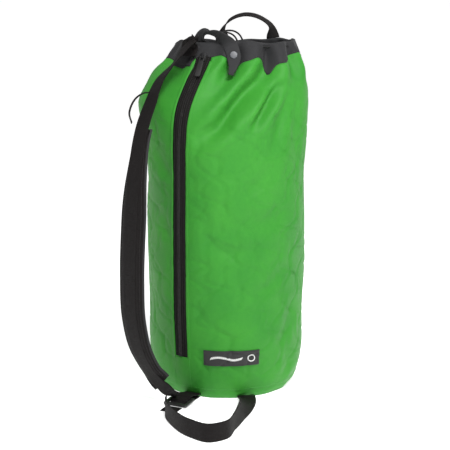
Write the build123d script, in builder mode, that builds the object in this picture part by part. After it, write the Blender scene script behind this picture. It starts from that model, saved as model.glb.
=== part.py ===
from build123d import *
import os
from math import cos, pi, radians, sin, sqrt, tan

# Rope storage bag, standing on its base, closed. Millimetres, +Z up, origin at the
# centre of the base on the floor, front (label) towards -Y, shoulder strap towards -X.

# ---------------------------------------------------------------- driving dimensions
CLOTH = 2.2             # wall of body and collar
CLEAR = 0.3             # gap between soft neighbours
COLLAR_SEAM = 548.0     # height where the collar is sewn to the body
RIM = 578.0             # top edge of the collar
WEBBING = 30.0          # width of the strap, anchor and tail webbing
WEBBING_THICK = 1.8
PAD_WIDTH = 54.0
PAD_THICK = 9.0
PAD_SKIN = 1.4
CORD = 3.0              # drawcord diameter
ZIP_AZIMUTH = 34.45     # degrees left of the front
ZIP_BOTTOM = 68.0
ZIP_TOP = 561.0
SLOT_HALF = 13.0        # half width of the zip opening in the cloth
ANCHOR_AZIMUTH = 27.0   # lower strap anchor, left of the front
TAIL_AZIMUTH = -16.5    # sewn end of the tail, right of the front
LOCK_REACH = 152.0      # ladder lock's first bar, from the bag's axis
LOCK_HEIGHT = 7.0
LOCK_TILT = 6.0

# Outer form of the stuffed bag: height, sideways shift, half width, half depth.
STATIONS = [
    (0.0, 0.0, 112.0, 116.0),
    (8.0, 0.0, 118.0, 121.0),
    (22.0, 0.0, 123.0, 125.0),
    (50.0, 0.0, 128.0, 128.0),
    (110.0, 0.0, 131.5, 131.0),
    (230.0, 0.0, 133.0, 132.0),
    (370.0, 0.0, 132.5, 130.5),
    (425.0, -1.0, 135.0, 127.0),
    (455.0, -3.0, 138.0, 120.5),
    (480.0, -4.0, 140.0, 109.0),
    (502.0, -1.0, 136.0, 94.0),
    (525.0, 4.0, 126.0, 77.0),
    (COLLAR_SEAM, 12.0, 111.0, 62.0),
    (RIM, 17.0, 98.0, 51.0),
]


# ---------------------------------------------------------------- helpers
def outward(azimuth):
    """Horizontal direction away from the axis, azimuth in degrees left of the front."""
    return Vector(-sin(radians(azimuth)), -cos(radians(azimuth)), 0)


def sideways(azimuth):
    """Horizontal direction to the viewer's right when looking at that azimuth."""
    return Vector(cos(radians(azimuth)), -sin(radians(azimuth)), 0)


def radial_plane(azimuth):
    """Upright plane through the axis: local x outward, local y up."""
    out = outward(azimuth)
    return Plane(origin=(0, 0, 0), x_dir=out, z_dir=out.cross(Vector(0, 0, 1)))


def facing_plane(azimuth):
    """Upright plane through the axis that faces outward: local x sideways, local y up."""
    return Plane(origin=(0, 0, 0), x_dir=sideways(azimuth), z_dir=outward(azimuth))


def bag_form(inset):
    """The closed outer form of body and collar, shrunk sideways by inset."""
    with BuildPart() as form:
        for height, shift, half_width, half_depth in STATIONS:
            with BuildSketch(Plane((shift, 0, height))):
                Ellipse(half_width - inset, half_depth - inset)
        loft(ruled=True)
    return form.part


def layer(outer_inset, inner_inset):
    """A skin between two insets of the form."""
    with BuildPart() as skin:
        add(bag_form(outer_inset))
        add(bag_form(inner_inset), mode=Mode.SUBTRACT)
    return skin.part


def blend(values, reach, share):
    """The direction at a share of a route's length, between the ones at its points."""
    along = share * reach[-1]
    for i in range(len(reach) - 1):
        if along <= reach[i + 1] or i == len(reach) - 2:
            part = (along - reach[i]) / (reach[i + 1] - reach[i])
            return Vector(values[i]) * (1 - part) + Vector(values[i + 1]) * part


def band_planes(route, across, count):
    """Section planes along a band: local x is its width, local z runs along it."""
    with BuildLine() as line:
        Spline(*route)
    curve = line.edges()[0]
    reach = [0.0]
    for start, end in zip(route, route[1:]):
        reach.append(reach[-1] + (Vector(end) - Vector(start)).length)
    planes = []
    for i in range(count):
        share = i / (count - 1)
        run = curve % share
        width = blend(across, reach, share)
        width = (width - run * width.dot(run)).normalized()
        planes.append(Plane(origin=curve @ share, x_dir=width, z_dir=run))
    return planes


def section_at(height):
    """Shift, half width and half depth of the outer form at one height."""
    for low, high in zip(STATIONS, STATIONS[1:]):
        if height <= high[0]:
            part = (height - low[0]) / (high[0] - low[0])
            return [start + part * (end - start) for start, end in zip(low[1:], high[1:])]
    return list(STATIONS[-1][1:])


def front_point(x, height, inset=0.0):
    """Point on the front of the form at one x and height."""
    shift, half_width, half_depth = section_at(height)
    share = (x - shift) / (half_width - inset)
    return Vector(x, -(half_depth - inset) * sqrt(1 - share * share), height)


def front_plane(x, height, inset=0.0):
    """Plane on the front of the form: local z outward, local x level."""
    level = front_point(x + 1, height, inset) - front_point(x - 1, height, inset)
    upward = front_point(x, height + 1, inset) - front_point(x, height - 1, inset)
    return Plane(front_point(x, height, inset), x_dir=level, z_dir=level.cross(upward))


def zip_plane_at(height, inset=0.0):
    """Plane on the form on the zip's line: local z outward, local y up along the zip."""
    def on_form(rise, aside=0.0):
        start = zip_frame.from_local_coords(Vector(aside, rise, 0))
        shift, half_width, half_depth = section_at(start.Z)
        way = zip_frame.z_dir
        a = (way.X / (half_width - inset)) ** 2 + (way.Y / (half_depth - inset)) ** 2
        b = (start.X - shift) * way.X / (half_width - inset) ** 2
        b += start.Y * way.Y / (half_depth - inset) ** 2
        c = ((start.X - shift) / (half_width - inset)) ** 2
        c += (start.Y / (half_depth - inset)) ** 2 - 1
        return start + way * ((-b + sqrt(b * b - a * c)) / a)

    upward = (on_form(height + 3) - on_form(height - 3)).normalized()
    level = on_form(height, 3) - on_form(height, -3)
    level = (level - upward * level.dot(upward)).normalized()
    return Plane(on_form(height), x_dir=level, z_dir=level.cross(upward))


def cord_radii(points, name):
    """The largest tangent arc at each corner of a cord's route."""
    radii = []
    for before, corner, after in zip(points, points[1:], points[2:]):
        run_in = Vector(corner) - Vector(before)
        run_out = Vector(after) - Vector(corner)
        turn = radians(run_in.get_angle(run_out))
        radii.append(0.45 * min(run_in.length, run_out.length) / tan(turn / 2))
    print(name, "smallest radius", round(min(radii), 1))
    return radii


def finish(builder, name):
    """Label one finished sub-part and write it."""
    builder.part.label = name
    export_step(builder.part, f"parts/{name}.step")


os.makedirs("parts", exist_ok=True)
cloth_wall = layer(0, CLOTH)
zip_frame = facing_plane(ZIP_AZIMUTH)


def zip_strip(left, right, low, high):
    """A solid strip through the front wall, in the zip's upright frame."""
    with BuildPart() as strip:
        with BuildSketch(zip_frame):
            with Locations(((left + right) / 2, (low + high) / 2)):
                Rectangle(right - left, high - low)
        extrude(amount=200)
    return strip.part


zip_opening = zip_strip(-SLOT_HALF, SLOT_HALF, ZIP_BOTTOM, ZIP_TOP)

# ---------------------------------------------------------------- body and collar
seam_slot_low = 2.2
seam_slot_high = 6.4

with BuildPart() as body_panel:
    add(cloth_wall)
    add(zip_opening, mode=Mode.SUBTRACT)
    for azimuth in (ANCHOR_AZIMUTH, TAIL_AZIMUTH):
        with BuildSketch(facing_plane(azimuth)):
            with Locations((0, (seam_slot_low + seam_slot_high) / 2)):
                Rectangle(WEBBING + 1, seam_slot_high - seam_slot_low)
        extrude(amount=200, mode=Mode.SUBTRACT)
    split(bisect_by=Plane.XY.offset(COLLAR_SEAM - 0.1), keep=Keep.BOTTOM)
finish(body_panel, "body_panel")

with BuildPart() as collar:
    add(cloth_wall)
    add(zip_opening, mode=Mode.SUBTRACT)
    split(bisect_by=Plane.XY.offset(COLLAR_SEAM + 0.1), keep=Keep.TOP)
finish(collar, "collar")

# A folded hem inside the rim makes the tunnel that the drawcord runs in.
TUNNEL = (2.5, 7.5)     # insets of the tunnel's two sides
HEM_SKIN = 1.4
HEM_LOW = 563.0
HEM_HIGH = 577.0
eyelet_xs = (22.0, 31.0)
cord_height = (HEM_LOW + HEM_HIGH) / 2
hem_inset = TUNNEL[1] + HEM_SKIN
eyelets = [front_plane(x, cord_height, hem_inset) for x in eyelet_xs]
EYELET_BORE = 2.2
EYELET_SLEEVE = 2.8
EYELET_FLANGE = 4.0

with BuildPart() as collar_hem:
    add(layer(TUNNEL[0], hem_inset))
    split(bisect_by=Plane.XY.offset(HEM_LOW), keep=Keep.TOP)
    split(bisect_by=Plane.XY.offset(HEM_HIGH), keep=Keep.BOTTOM)
    with BuildPart(mode=Mode.PRIVATE) as tunnel:
        add(layer(TUNNEL[0] - 1, TUNNEL[1]))
        split(bisect_by=Plane.XY.offset(HEM_LOW + HEM_SKIN), keep=Keep.TOP)
        split(bisect_by=Plane.XY.offset(HEM_HIGH - HEM_SKIN), keep=Keep.BOTTOM)
    add(tunnel.part, mode=Mode.SUBTRACT)
    with Locations(*eyelets):
        Cylinder(EYELET_SLEEVE + 0.1, 6, mode=Mode.SUBTRACT)
finish(collar_hem, "collar_hem")

with BuildPart() as drawcord_eyelets:
    for eyelet in eyelets:
        with BuildSketch(eyelet.offset(-0.3)):
            Circle(EYELET_SLEEVE)
            Circle(EYELET_BORE, mode=Mode.SUBTRACT)
        extrude(amount=HEM_SKIN + 0.3)
        with BuildSketch(eyelet.offset(-1.1)):
            Circle(EYELET_FLANGE)
            Circle(EYELET_BORE, mode=Mode.SUBTRACT)
        extrude(amount=0.8)
finish(drawcord_eyelets, "drawcord_eyelets")

# ---------------------------------------------------------------- base
BASE_HALF_WIDTH = 109.4
BASE_HALF_DEPTH = 113.4
PANEL_THICK = 2.0
TAPE_INSET = 3.0

with BuildPart() as base_panel:
    with BuildSketch():
        Ellipse(BASE_HALF_WIDTH, BASE_HALF_DEPTH)
    extrude(amount=PANEL_THICK)
finish(base_panel, "base_panel")

with BuildPart() as base_seam_tape:
    with BuildSketch(Plane.XY.offset(7.0)):
        Ellipse(BASE_HALF_WIDTH, BASE_HALF_DEPTH)
        Ellipse(BASE_HALF_WIDTH - TAPE_INSET, BASE_HALF_DEPTH - TAPE_INSET, mode=Mode.SUBTRACT)
    extrude(amount=5)
finish(base_seam_tape, "base_seam_tape")

# Loop that the rope's inner end is tied to, sewn to the base panel.
LOOP_WIDTH = 20.0
LOOP_RADIUS = 15.0
LOOP_LEG = 18.0
LOOP_FOOT = PANEL_THICK + 0.1

with BuildPart() as rope_tie_loop:
    with BuildSketch(Plane.XZ.offset(-60)):
        for radius, mode in ((LOOP_RADIUS, Mode.ADD), (LOOP_RADIUS - WEBBING_THICK, Mode.SUBTRACT)):
            with Locations((0, LOOP_FOOT + LOOP_LEG)):
                Circle(radius, mode=mode)
            with Locations((0, LOOP_FOOT)):
                Rectangle(2 * radius, LOOP_LEG, align=(Align.CENTER, Align.MIN), mode=mode)
        for side in (-1, 1):
            with Locations((side * (LOOP_RADIUS + 5), LOOP_FOOT + WEBBING_THICK / 2)):
                Rectangle(12, WEBBING_THICK)
    extrude(amount=LOOP_WIDTH / 2, both=True)
finish(rope_tie_loop, "rope_tie_loop")

# ---------------------------------------------------------------- zip
TAPE = (0.5, 1.5)       # insets of the tape's two faces
COIL = (-0.9, 1.9)      # the coil stands a little proud of the tape
COIL_HALF = 2.6
COIL_GAP = 0.15

tape_skin = layer(*TAPE)
coil_skin = layer(*COIL)
for side, name in ((-1, "left"), (1, "right")):
    inner = side * (COIL_HALF + 0.1)
    edge = side * (SLOT_HALF - 0.15)
    with BuildPart() as tape:
        add(tape_skin)
        add(zip_strip(min(inner, edge), max(inner, edge), ZIP_BOTTOM + 0.2, ZIP_TOP - 0.2),
            mode=Mode.INTERSECT)
    finish(tape, f"zip_tape_{name}")
    near = side * COIL_GAP
    far = side * COIL_HALF
    with BuildPart() as coil:
        add(coil_skin)
        add(zip_strip(min(near, far), max(near, far), ZIP_BOTTOM + 6, ZIP_TOP - 14),
            mode=Mode.INTERSECT)
    finish(coil, f"zip_coil_{name}")

with BuildPart() as zip_bottom_stop:
    add(layer(-1.2, 2.2))
    add(zip_strip(-COIL_HALF, COIL_HALF, ZIP_BOTTOM + 1, ZIP_BOTTOM + 5.5), mode=Mode.INTERSECT)
finish(zip_bottom_stop, "zip_bottom_stop")

# The slider sits at the top of the zip. Its channel clears the coil and the tapes.
SLIDER_WIDTH = 10.0
SLIDER_LENGTH = 13.0
SLIDER_HALF_THICK = 3.3
CHANNEL_HALF = 2.1
SLIDER_DROP = 7.5       # slider's centre below the top of the zip
TAPE_SLIT = 1.0         # half height of the slits that the tapes leave by

slider_seat = zip_plane_at(ZIP_TOP - SLIDER_DROP, (TAPE[0] + TAPE[1]) / 2)
with BuildPart() as zip_slider:
    with BuildSketch(slider_seat.offset(-SLIDER_HALF_THICK)):
        RectangleRounded(SLIDER_WIDTH, SLIDER_LENGTH, 2.5)
    extrude(amount=2 * SLIDER_HALF_THICK)
    with Locations(slider_seat * Pos(0, -3, 0)):
        Box(2 * COIL_HALF + 0.8, SLIDER_LENGTH, 2 * CHANNEL_HALF, mode=Mode.SUBTRACT)
    slit_middle = SLIDER_WIDTH / 2 + COIL_HALF - 0.3
    with Locations(slider_seat * Pos(-slit_middle, 0, 0), slider_seat * Pos(slit_middle, 0, 0)):
        Box(SLIDER_WIDTH, SLIDER_LENGTH + 1, 2 * TAPE_SLIT, mode=Mode.SUBTRACT)
    with Locations(slider_seat.offset(SLIDER_HALF_THICK + 1.2)):
        Box(3, 6, 3, mode=Mode.ADD)
    with Locations(slider_seat.offset(SLIDER_HALF_THICK + 1.1) * Rot(0, 90, 0)):
        Cylinder(1.1, 4, mode=Mode.SUBTRACT)
finish(zip_slider, "zip_slider")

PULL_LENGTH = 30.0
PULL_TILT = 16.0        # the pull hangs away from the cloth
pull_seat = slider_seat.offset(SLIDER_HALF_THICK + 1.1).rotated((-PULL_TILT, 0, 0))
with BuildPart() as zip_pull:
    with Locations(pull_seat * Rot(0, 90, 0)):
        Cylinder(0.8, 9)
    with BuildSketch(pull_seat.offset(-0.8)):
        for side in (-1, 1):
            with Locations((side * 3.5, -4)):
                Rectangle(2, 9)
        with Locations((0, -8 - PULL_LENGTH / 2)):
            RectangleRounded(9, PULL_LENGTH, 3)
    extrude(amount=1.6)
finish(zip_pull, "zip_pull")

# ---------------------------------------------------------------- label
LABEL_X = 9.0
LABEL_WIDTH = 90.0
LABEL_LOW = 59.0
LABEL_HIGH = 85.0

with BuildPart() as label_patch:
    add(layer(-1.5, -CLEAR))
    with BuildPart(mode=Mode.PRIVATE) as label_block:
        with BuildSketch(Plane.XZ):
            with Locations((LABEL_X, (LABEL_LOW + LABEL_HIGH) / 2)):
                RectangleRounded(LABEL_WIDTH, LABEL_HIGH - LABEL_LOW, 2)
        extrude(amount=200)
    add(label_block.part, mode=Mode.INTERSECT)
finish(label_patch, "label_patch")

# ---------------------------------------------------------------- drawcord
HEM_CORD_STEPS = 30
shift, half_width, half_depth = section_at(cord_height)
tunnel_inset = (TUNNEL[0] + TUNNEL[1]) / 2
hem_route = []
for step in range(HEM_CORD_STEPS + 1):
    turn = radians(-70 + 341 * step / HEM_CORD_STEPS)
    x = shift + (half_width - tunnel_inset) * cos(turn)
    y = (half_depth - tunnel_inset) * sin(turn)
    hem_route.append((x, y, cord_height))
with BuildPart() as drawcord_hem:
    with BuildLine() as hem_line:
        FilletPolyline(*hem_route, radius=cord_radii(hem_route, "drawcord_hem"))
    with BuildSketch(Plane(hem_line.line @ 0, z_dir=hem_line.line % 0)):
        Circle(CORD / 2)
    sweep()
finish(drawcord_hem, "drawcord_hem")

# Two strands leave the eyelets, arc over the mouth and hang through the cord lock.
LOCK_X = -15.0
STRAND_YS = (-26.0, -21.5)
KNOT_HEIGHT = 541.0
strands = []
for x, eyelet, strand_y in zip(eyelet_xs, eyelets, STRAND_YS):
    lift = (x - eyelet_xs[0]) / 3
    strands.append([
        eyelet.from_local_coords(Vector(0, 0, HEM_SKIN + 0.5)),
        eyelet.from_local_coords(Vector(0, 0, -9)),
        (x, strand_y - 3, cord_height + 0.3),
        (x - 2.5, strand_y + 1, cord_height + 8.5),
        (x - 8, strand_y + 2, cord_height + 18 + lift / 2),
        (x - 19, strand_y + 2, cord_height + 23 + lift),
        (LOCK_X + 8 + lift, strand_y + 1.5, cord_height + 22 + lift),
        (LOCK_X + 1.2, strand_y + 0.5, cord_height + 14 + lift / 2),
        (LOCK_X, strand_y, cord_height + 4),
        (LOCK_X, strand_y + 0.2, cord_height - 14),
        (LOCK_X, strand_y, KNOT_HEIGHT + 4.2),
    ])
for number, route in enumerate(strands, 1):
    name = f"drawcord_strand_{number}"
    with BuildPart() as strand:
        with BuildLine() as strand_line:
            FilletPolyline(*route, radius=cord_radii(route, name))
        with BuildSketch(Plane(strand_line.line @ 0, z_dir=strand_line.line % 0)):
            Circle(CORD / 2)
        sweep()
    nominal = pi * (CORD / 2) ** 2 * strand_line.wires()[0].length
    print(name, "volume", round(strand.part.volume), "of", round(nominal))
    finish(strand, name)

with BuildPart() as cord_end_knot:
    with Locations((LOCK_X, sum(STRAND_YS) / 2, KNOT_HEIGHT)):
        Sphere(4.6)
    with BuildSketch(Plane.XY.offset(KNOT_HEIGHT + 4.0)):
        with Locations((LOCK_X, sum(STRAND_YS) / 2)):
            Rectangle(20, 20)
    extrude(amount=5, mode=Mode.SUBTRACT)
finish(cord_end_knot, "cord_end_knot")

# The lock: a barrel with a cross slot for both strands, and a sprung button in it.
LOCK_RADIUS = 7.0
LOCK_LENGTH = 17.0
BUTTON_RADIUS = 4.6
BUTTON_TRAVEL = 3.0
lock_middle = (LOCK_X, sum(STRAND_YS) / 2, cord_height - 8)
barrel = Plane(origin=lock_middle, x_dir=(0, 1, 0), z_dir=(1, 0, 0))
strand_slot = (abs(STRAND_YS[1] - STRAND_YS[0]) + CORD + 0.6, CORD + 0.6)

with BuildPart() as cord_lock_body:
    with BuildSketch(barrel.offset(-LOCK_LENGTH / 2)):
        Circle(LOCK_RADIUS)
    extrude(amount=LOCK_LENGTH)
    with BuildSketch(barrel.offset(-LOCK_LENGTH / 2 + 1.6)):
        Circle(BUTTON_RADIUS + 0.1)
    extrude(amount=LOCK_LENGTH, mode=Mode.SUBTRACT)
    with BuildSketch(Plane(lock_middle)):
        Rectangle(strand_slot[1], strand_slot[0])
    extrude(amount=LOCK_RADIUS + 1, both=True, mode=Mode.SUBTRACT)
finish(cord_lock_body, "cord_lock_body")

with BuildPart() as cord_lock_button:
    with BuildSketch(barrel.offset(-3.0)):
        Circle(BUTTON_RADIUS)
    extrude(amount=LOCK_LENGTH / 2 + 3.0 + BUTTON_TRAVEL + 0.6)
    with BuildSketch(Plane(lock_middle).offset(-LOCK_RADIUS)):
        with Locations((BUTTON_TRAVEL / 2, 0)):
            Rectangle(strand_slot[1] + BUTTON_TRAVEL, strand_slot[0])
    extrude(amount=2 * LOCK_RADIUS, mode=Mode.SUBTRACT)
finish(cord_lock_button, "cord_lock_button")

SPRING_TURNS = 4
with BuildPart() as cord_lock_spring:
    for turn in range(SPRING_TURNS):
        ring_start = -LOCK_LENGTH / 2 + 1.8 + turn * 0.9
        with BuildSketch(barrel.offset(ring_start)):
            Circle(3.6)
            Circle(2.9, mode=Mode.SUBTRACT)
        extrude(amount=0.6)
finish(cord_lock_spring, "cord_lock_spring")

# ---------------------------------------------------------------- top handle
HANDLE_WEBBING = 22.0
HANDLE_FEET = (-6.0, 80.0)
HANDLE_PATCH_LOW = 551.0
HANDLE_AXIS_HEIGHT = 581.0

with BuildPart() as handle_ends:
    add(layer(-2.1, -CLEAR))
    with BuildPart(mode=Mode.PRIVATE) as feet_block:
        with BuildSketch(Plane.XZ):
            for x in HANDLE_FEET:
                with Locations((x, (HANDLE_PATCH_LOW + RIM) / 2)):
                    Rectangle(HANDLE_WEBBING, RIM - HANDLE_PATCH_LOW)
        extrude(amount=-200)
    add(feet_block.part, mode=Mode.INTERSECT)
finish(handle_ends, "handle_ends")

feet = [front_point(x, RIM, -1.2) for x in HANDLE_FEET]
left_foot = (feet[0].X, -feet[0].Y, HANDLE_AXIS_HEIGHT)
right_foot = (feet[1].X, -feet[1].Y, HANDLE_AXIS_HEIGHT)
along_feet = (Vector(right_foot) - Vector(left_foot)).normalized()
handle_route = [
    left_foot,
    (left_foot[0] + 1, left_foot[1] - 2, 594),
    (left_foot[0] + 12, left_foot[1] - 5, 609),
    (left_foot[0] + 38, left_foot[1] - 6, 620),
    (right_foot[0] - 20, right_foot[1] - 1, 614),
    (right_foot[0] - 3, right_foot[1], 600),
    right_foot,
]
edge_on = (0.15, 0.9, 0.35)
handle_across = [along_feet, (0.5, 0.8, 0.2), edge_on, edge_on, edge_on, (0.6, 0.7, 0), along_feet]
with BuildPart() as top_handle:
    for plane in band_planes(handle_route, handle_across, 17):
        with BuildSketch(plane):
            Rectangle(HANDLE_WEBBING, WEBBING_THICK)
    loft(ruled=True)
finish(top_handle, "top_handle")

# ---------------------------------------------------------------- closure tab and press stud
TAB_WIDTH = 23.0
TAB_THICK = 1.6
TAB_RISE = 4.8          # level gap from the collar to the tab's middle
STUD_GAP = 0.6          # between the tab and the snap's two halves
STUD_X = 13.0
STUD_HEIGHT = 556.0

TAB_ROOT_ACROSS = (0.92, -0.39, 0)
TAB_ROOT_X = -43.0
TAB_INSET = 3.2         # tab's middle inside the hem
tab_axis_point = front_point(TAB_ROOT_X, 576.8, hem_inset + TAB_INSET)
stud_plane = front_plane(STUD_X, STUD_HEIGHT)
tab_lift = stud_plane.to_local_coords(front_point(STUD_X, STUD_HEIGHT, -TAB_RISE)).Z

with BuildPart() as closure_tab_root:
    for height in (562.8, 574.8):
        root = front_point(TAB_ROOT_X, height, hem_inset + TAB_INSET)
        with BuildSketch(Plane(root, x_dir=TAB_ROOT_ACROSS)):
            Rectangle(TAB_WIDTH, TAB_THICK)
    loft(ruled=True)
finish(closure_tab_root, "closure_tab_root")

tab_end = [(8, 571), (STUD_X, STUD_HEIGHT), (12, 541), (8, 527)]
tab_route = [
    tab_axis_point + Vector(0, 0, 0.4),
    (-38, -33, 589),
    (-22, -47, 594),
    (-5, -57, 588),
] + [front_point(x, height, -TAB_RISE) for x, height in tab_end]
tab_across = [
    TAB_ROOT_ACROSS,
    (0.65, -0.75, 0),
    (0.45, -0.9, 0.1),
    (0.65, -0.7, 0.35),
    (0.87, 0.15, 0.46),
    (1, 0, 0.1),
    (1, 0, 0),
    (1, 0, -0.1),
]
tab_planes = band_planes(tab_route, tab_across, 19)
with BuildPart() as closure_tab:
    for number, plane in enumerate(tab_planes):
        taper = max(0, number - 14) * 3.4
        with BuildSketch(plane):
            Rectangle(TAB_WIDTH - taper, TAB_THICK)
    loft(ruled=True)
    with Locations(stud_plane):
        Cylinder(1.6, 30, mode=Mode.SUBTRACT)
finish(closure_tab, "closure_tab")

# Snap fastener: cap and socket on the tab, stud on the collar behind it.
with BuildPart() as stud_cap:
    with BuildSketch(stud_plane.offset(tab_lift + TAB_THICK / 2 + STUD_GAP)):
        Circle(6.2)
    extrude(amount=1.8)
    fillet(stud_cap.faces().sort_by(Axis.Y)[0].edges(), 0.9)
finish(stud_cap, "stud_cap")

socket_top = tab_lift - TAB_THICK / 2 - STUD_GAP
with BuildPart() as stud_socket:
    with BuildSketch(stud_plane.offset(socket_top - 1.0)):
        Circle(5.0)
        Circle(2.9, mode=Mode.SUBTRACT)
    extrude(amount=0.6)
    with BuildSketch(stud_plane.offset(socket_top - 0.4)):
        Circle(5.0)
    extrude(amount=0.4)
    with BuildSketch(stud_plane.offset(socket_top)):
        Circle(1.3)
    extrude(amount=TAB_THICK + 2 * STUD_GAP)
finish(stud_socket, "stud_socket")

with BuildPart() as stud_post:
    with BuildSketch(stud_plane.offset(CLEAR)):
        Circle(5.0)
    extrude(amount=0.6)
    with BuildSketch(stud_plane.offset(CLEAR)):
        Circle(1.6)
    extrude(amount=1.4)
finish(stud_post, "stud_post")

# ---------------------------------------------------------------- shoulder strap
pad_level = (0.707, -0.707, 0)
STRAP_ROUTE = [
    (-50, -62, 583),
    (-66, -66, 568),
    (-83, -68, 545),
    (-106, -77, 518),
    (-120, -93, 483),
    (-131, -112, 450),
    (-144, -139, 370),
    (-149, -152, 290),
    (-152, -154, 210),
    (-150, -152, 140),
    (-138, -147, 85),
    (-121, -143, 52),
    (-105, -146, 33),
    (-89, -150, 22),
    (-78, -150, 17.5),
]
STRAP_ACROSS = [
    (0.75, -0.6, 0.2),
    (0.45, -0.85, 0.1),
    (0.1, -1, 0),
    (0.45, -0.85, 0),
    (0.65, -0.75, 0),
    pad_level,
    pad_level,
    pad_level,
    pad_level,
    pad_level,
    pad_level,
    pad_level,
    (0.8, -0.6, 0),
    sideways(ANCHOR_AZIMUTH),
    sideways(ANCHOR_AZIMUTH),
]
STRAP_SECTIONS = 41
PAD_FIRST = 11
PAD_LAST = 38
strap_planes = band_planes(STRAP_ROUTE, STRAP_ACROSS, STRAP_SECTIONS)
pad_offset = -(WEBBING_THICK / 2 + CLEAR + PAD_THICK / 2)

with BuildPart() as strap_webbing:
    for plane in strap_planes:
        with BuildSketch(plane):
            Rectangle(WEBBING, WEBBING_THICK)
    loft(ruled=True)
finish(strap_webbing, "strap_webbing")

with BuildPart() as pad_cover:
    for plane in strap_planes[PAD_FIRST:PAD_LAST]:
        with BuildSketch(plane):
            with Locations((0, pad_offset)):
                Rectangle(PAD_WIDTH, PAD_THICK)
    loft(ruled=True)
    for plane in strap_planes[PAD_FIRST + 1:PAD_LAST - 1]:
        with BuildSketch(plane):
            with Locations((0, pad_offset)):
                Rectangle(PAD_WIDTH - 2 * PAD_SKIN, PAD_THICK - 2 * PAD_SKIN)
    loft(ruled=True, mode=Mode.SUBTRACT)
finish(pad_cover, "pad_cover")

with BuildPart() as pad_foam:
    for plane in strap_planes[PAD_FIRST + 1:PAD_LAST - 1]:
        with BuildSketch(plane):
            with Locations((0, pad_offset)):
                Rectangle(PAD_WIDTH - 2 * PAD_SKIN - 0.6, PAD_THICK - 2 * PAD_SKIN - 0.6)
    loft(ruled=True)
    end_trim = strap_planes[PAD_FIRST + 1].offset(0.4)
    split(bisect_by=end_trim, keep=Keep.TOP)
    end_trim = strap_planes[PAD_LAST - 2].offset(-0.4)
    split(bisect_by=end_trim, keep=Keep.BOTTOM)
finish(pad_foam, "pad_foam")

with BuildPart() as pad_binding:
    for side in (-1, 1):
        for plane in strap_planes[PAD_FIRST:PAD_LAST]:
            with BuildSketch(plane):
                with Locations((side * (PAD_WIDTH / 2 + 0.8), pad_offset)):
                    Rectangle(1.2, PAD_THICK + 0.6)
        loft(ruled=True)
finish(pad_binding, "pad_binding")

# The strap's upper end: a folded webbing tab sewn to the collar under a patch.
ANCHOR_SKIN = 1.6
with BuildPart() as strap_patch:
    add(layer(-ANCHOR_SKIN, -CLEAR))
    with BuildPart(mode=Mode.PRIVATE) as patch_block:
        with BuildSketch(facing_plane(52).offset(20)):
            with Locations((-4, 556)):
                Rectangle(34, 34)
        extrude(amount=180)
    add(patch_block.part, mode=Mode.INTERSECT)
finish(strap_patch, "strap_patch")

fold_route = [
    front_point(-61, 556, -6.0),
    front_point(-58, 570, -7.0),
    (-52, -56, 583),
    (-48.5, -58.5, 588.5),
    (-48.6, -62, 585.8),
]
patch_level = (0.88, -0.475, 0)
fold_across = [patch_level, patch_level, STRAP_ACROSS[0], STRAP_ACROSS[0], STRAP_ACROSS[0]]
with BuildPart() as strap_top_tab:
    for plane in band_planes(fold_route, fold_across, 13):
        with BuildSketch(plane):
            Rectangle(WEBBING, WEBBING_THICK)
    loft(ruled=True)
finish(strap_top_tab, "strap_top_tab")

# A thin tape loop beside the strap, from the webbing's edge to the pad's corner.
GEAR_TAPE = (9.0, 1.2)
gear_route = [
    (-129, -83, 498),
    (-142, -86, 492),
    (-150, -92, 480),
    (-153, -98, 467),
    (-150, -103, 455),
]
gear_across = (0.3, -0.95, 0)
with BuildPart() as gear_loop:
    for plane in band_planes(gear_route, [gear_across] * len(gear_route), 13):
        with BuildSketch(plane):
            Rectangle(*GEAR_TAPE)
    loft(ruled=True)
finish(gear_loop, "gear_loop")

# ---------------------------------------------------------------- lower anchor and ladder lock
LOCK_BAR = 4.0
LOCK_THICK = 4.0
LOCK_WINDOW = 9.0
LOCK_FRAME = (42.0, 32.0)
WRAP_BORE = 3.1
WRAP_OUTER = WRAP_BORE + WEBBING_THICK
TAB_LEVEL = 3.6         # middle height of webbing where it leaves the base seam

with BuildPart() as strap_anchor:
    with BuildSketch(radial_plane(ANCHOR_AZIMUTH)):
        with Locations((LOCK_REACH, LOCK_HEIGHT)):
            Circle(WRAP_OUTER)
        with Locations((113, TAB_LEVEL)):
            Rectangle(2, WEBBING_THICK)
        make_hull()
        with Locations((99, TAB_LEVEL)):
            Rectangle(30, WEBBING_THICK)
        with BuildSketch(mode=Mode.PRIVATE) as fold_gap:
            with Locations((LOCK_REACH, LOCK_HEIGHT)):
                Circle(WRAP_BORE)
            with Locations((122, 4.6)):
                Circle(0.3)
            make_hull()
        add(fold_gap.sketch, mode=Mode.SUBTRACT)
    extrude(amount=WEBBING / 2, both=True)
finish(strap_anchor, "strap_anchor")

lock_out = outward(ANCHOR_AZIMUTH)
lock_origin = lock_out * LOCK_REACH + Vector(0, 0, LOCK_HEIGHT)
lock_normal = Vector(0, 0, cos(radians(LOCK_TILT))) + lock_out * sin(radians(LOCK_TILT))
lock_frame = Plane(lock_origin, x_dir=sideways(ANCHOR_AZIMUTH), z_dir=lock_normal)
window_rows = [-(LOCK_BAR + LOCK_WINDOW) * row - (LOCK_BAR + LOCK_WINDOW) / 2 for row in (0, 1)]

with BuildPart() as ladder_lock:
    with BuildSketch(lock_frame.offset(-LOCK_THICK / 2)):
        with Locations((0, LOCK_BAR / 2 - LOCK_FRAME[1] / 2)):
            RectangleRounded(*LOCK_FRAME, 3)
        for row in window_rows:
            with Locations((0, row)):
                Rectangle(WEBBING + 1.6, LOCK_WINDOW, mode=Mode.SUBTRACT)
    extrude(amount=LOCK_THICK)
finish(ladder_lock, "ladder_lock")

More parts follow.
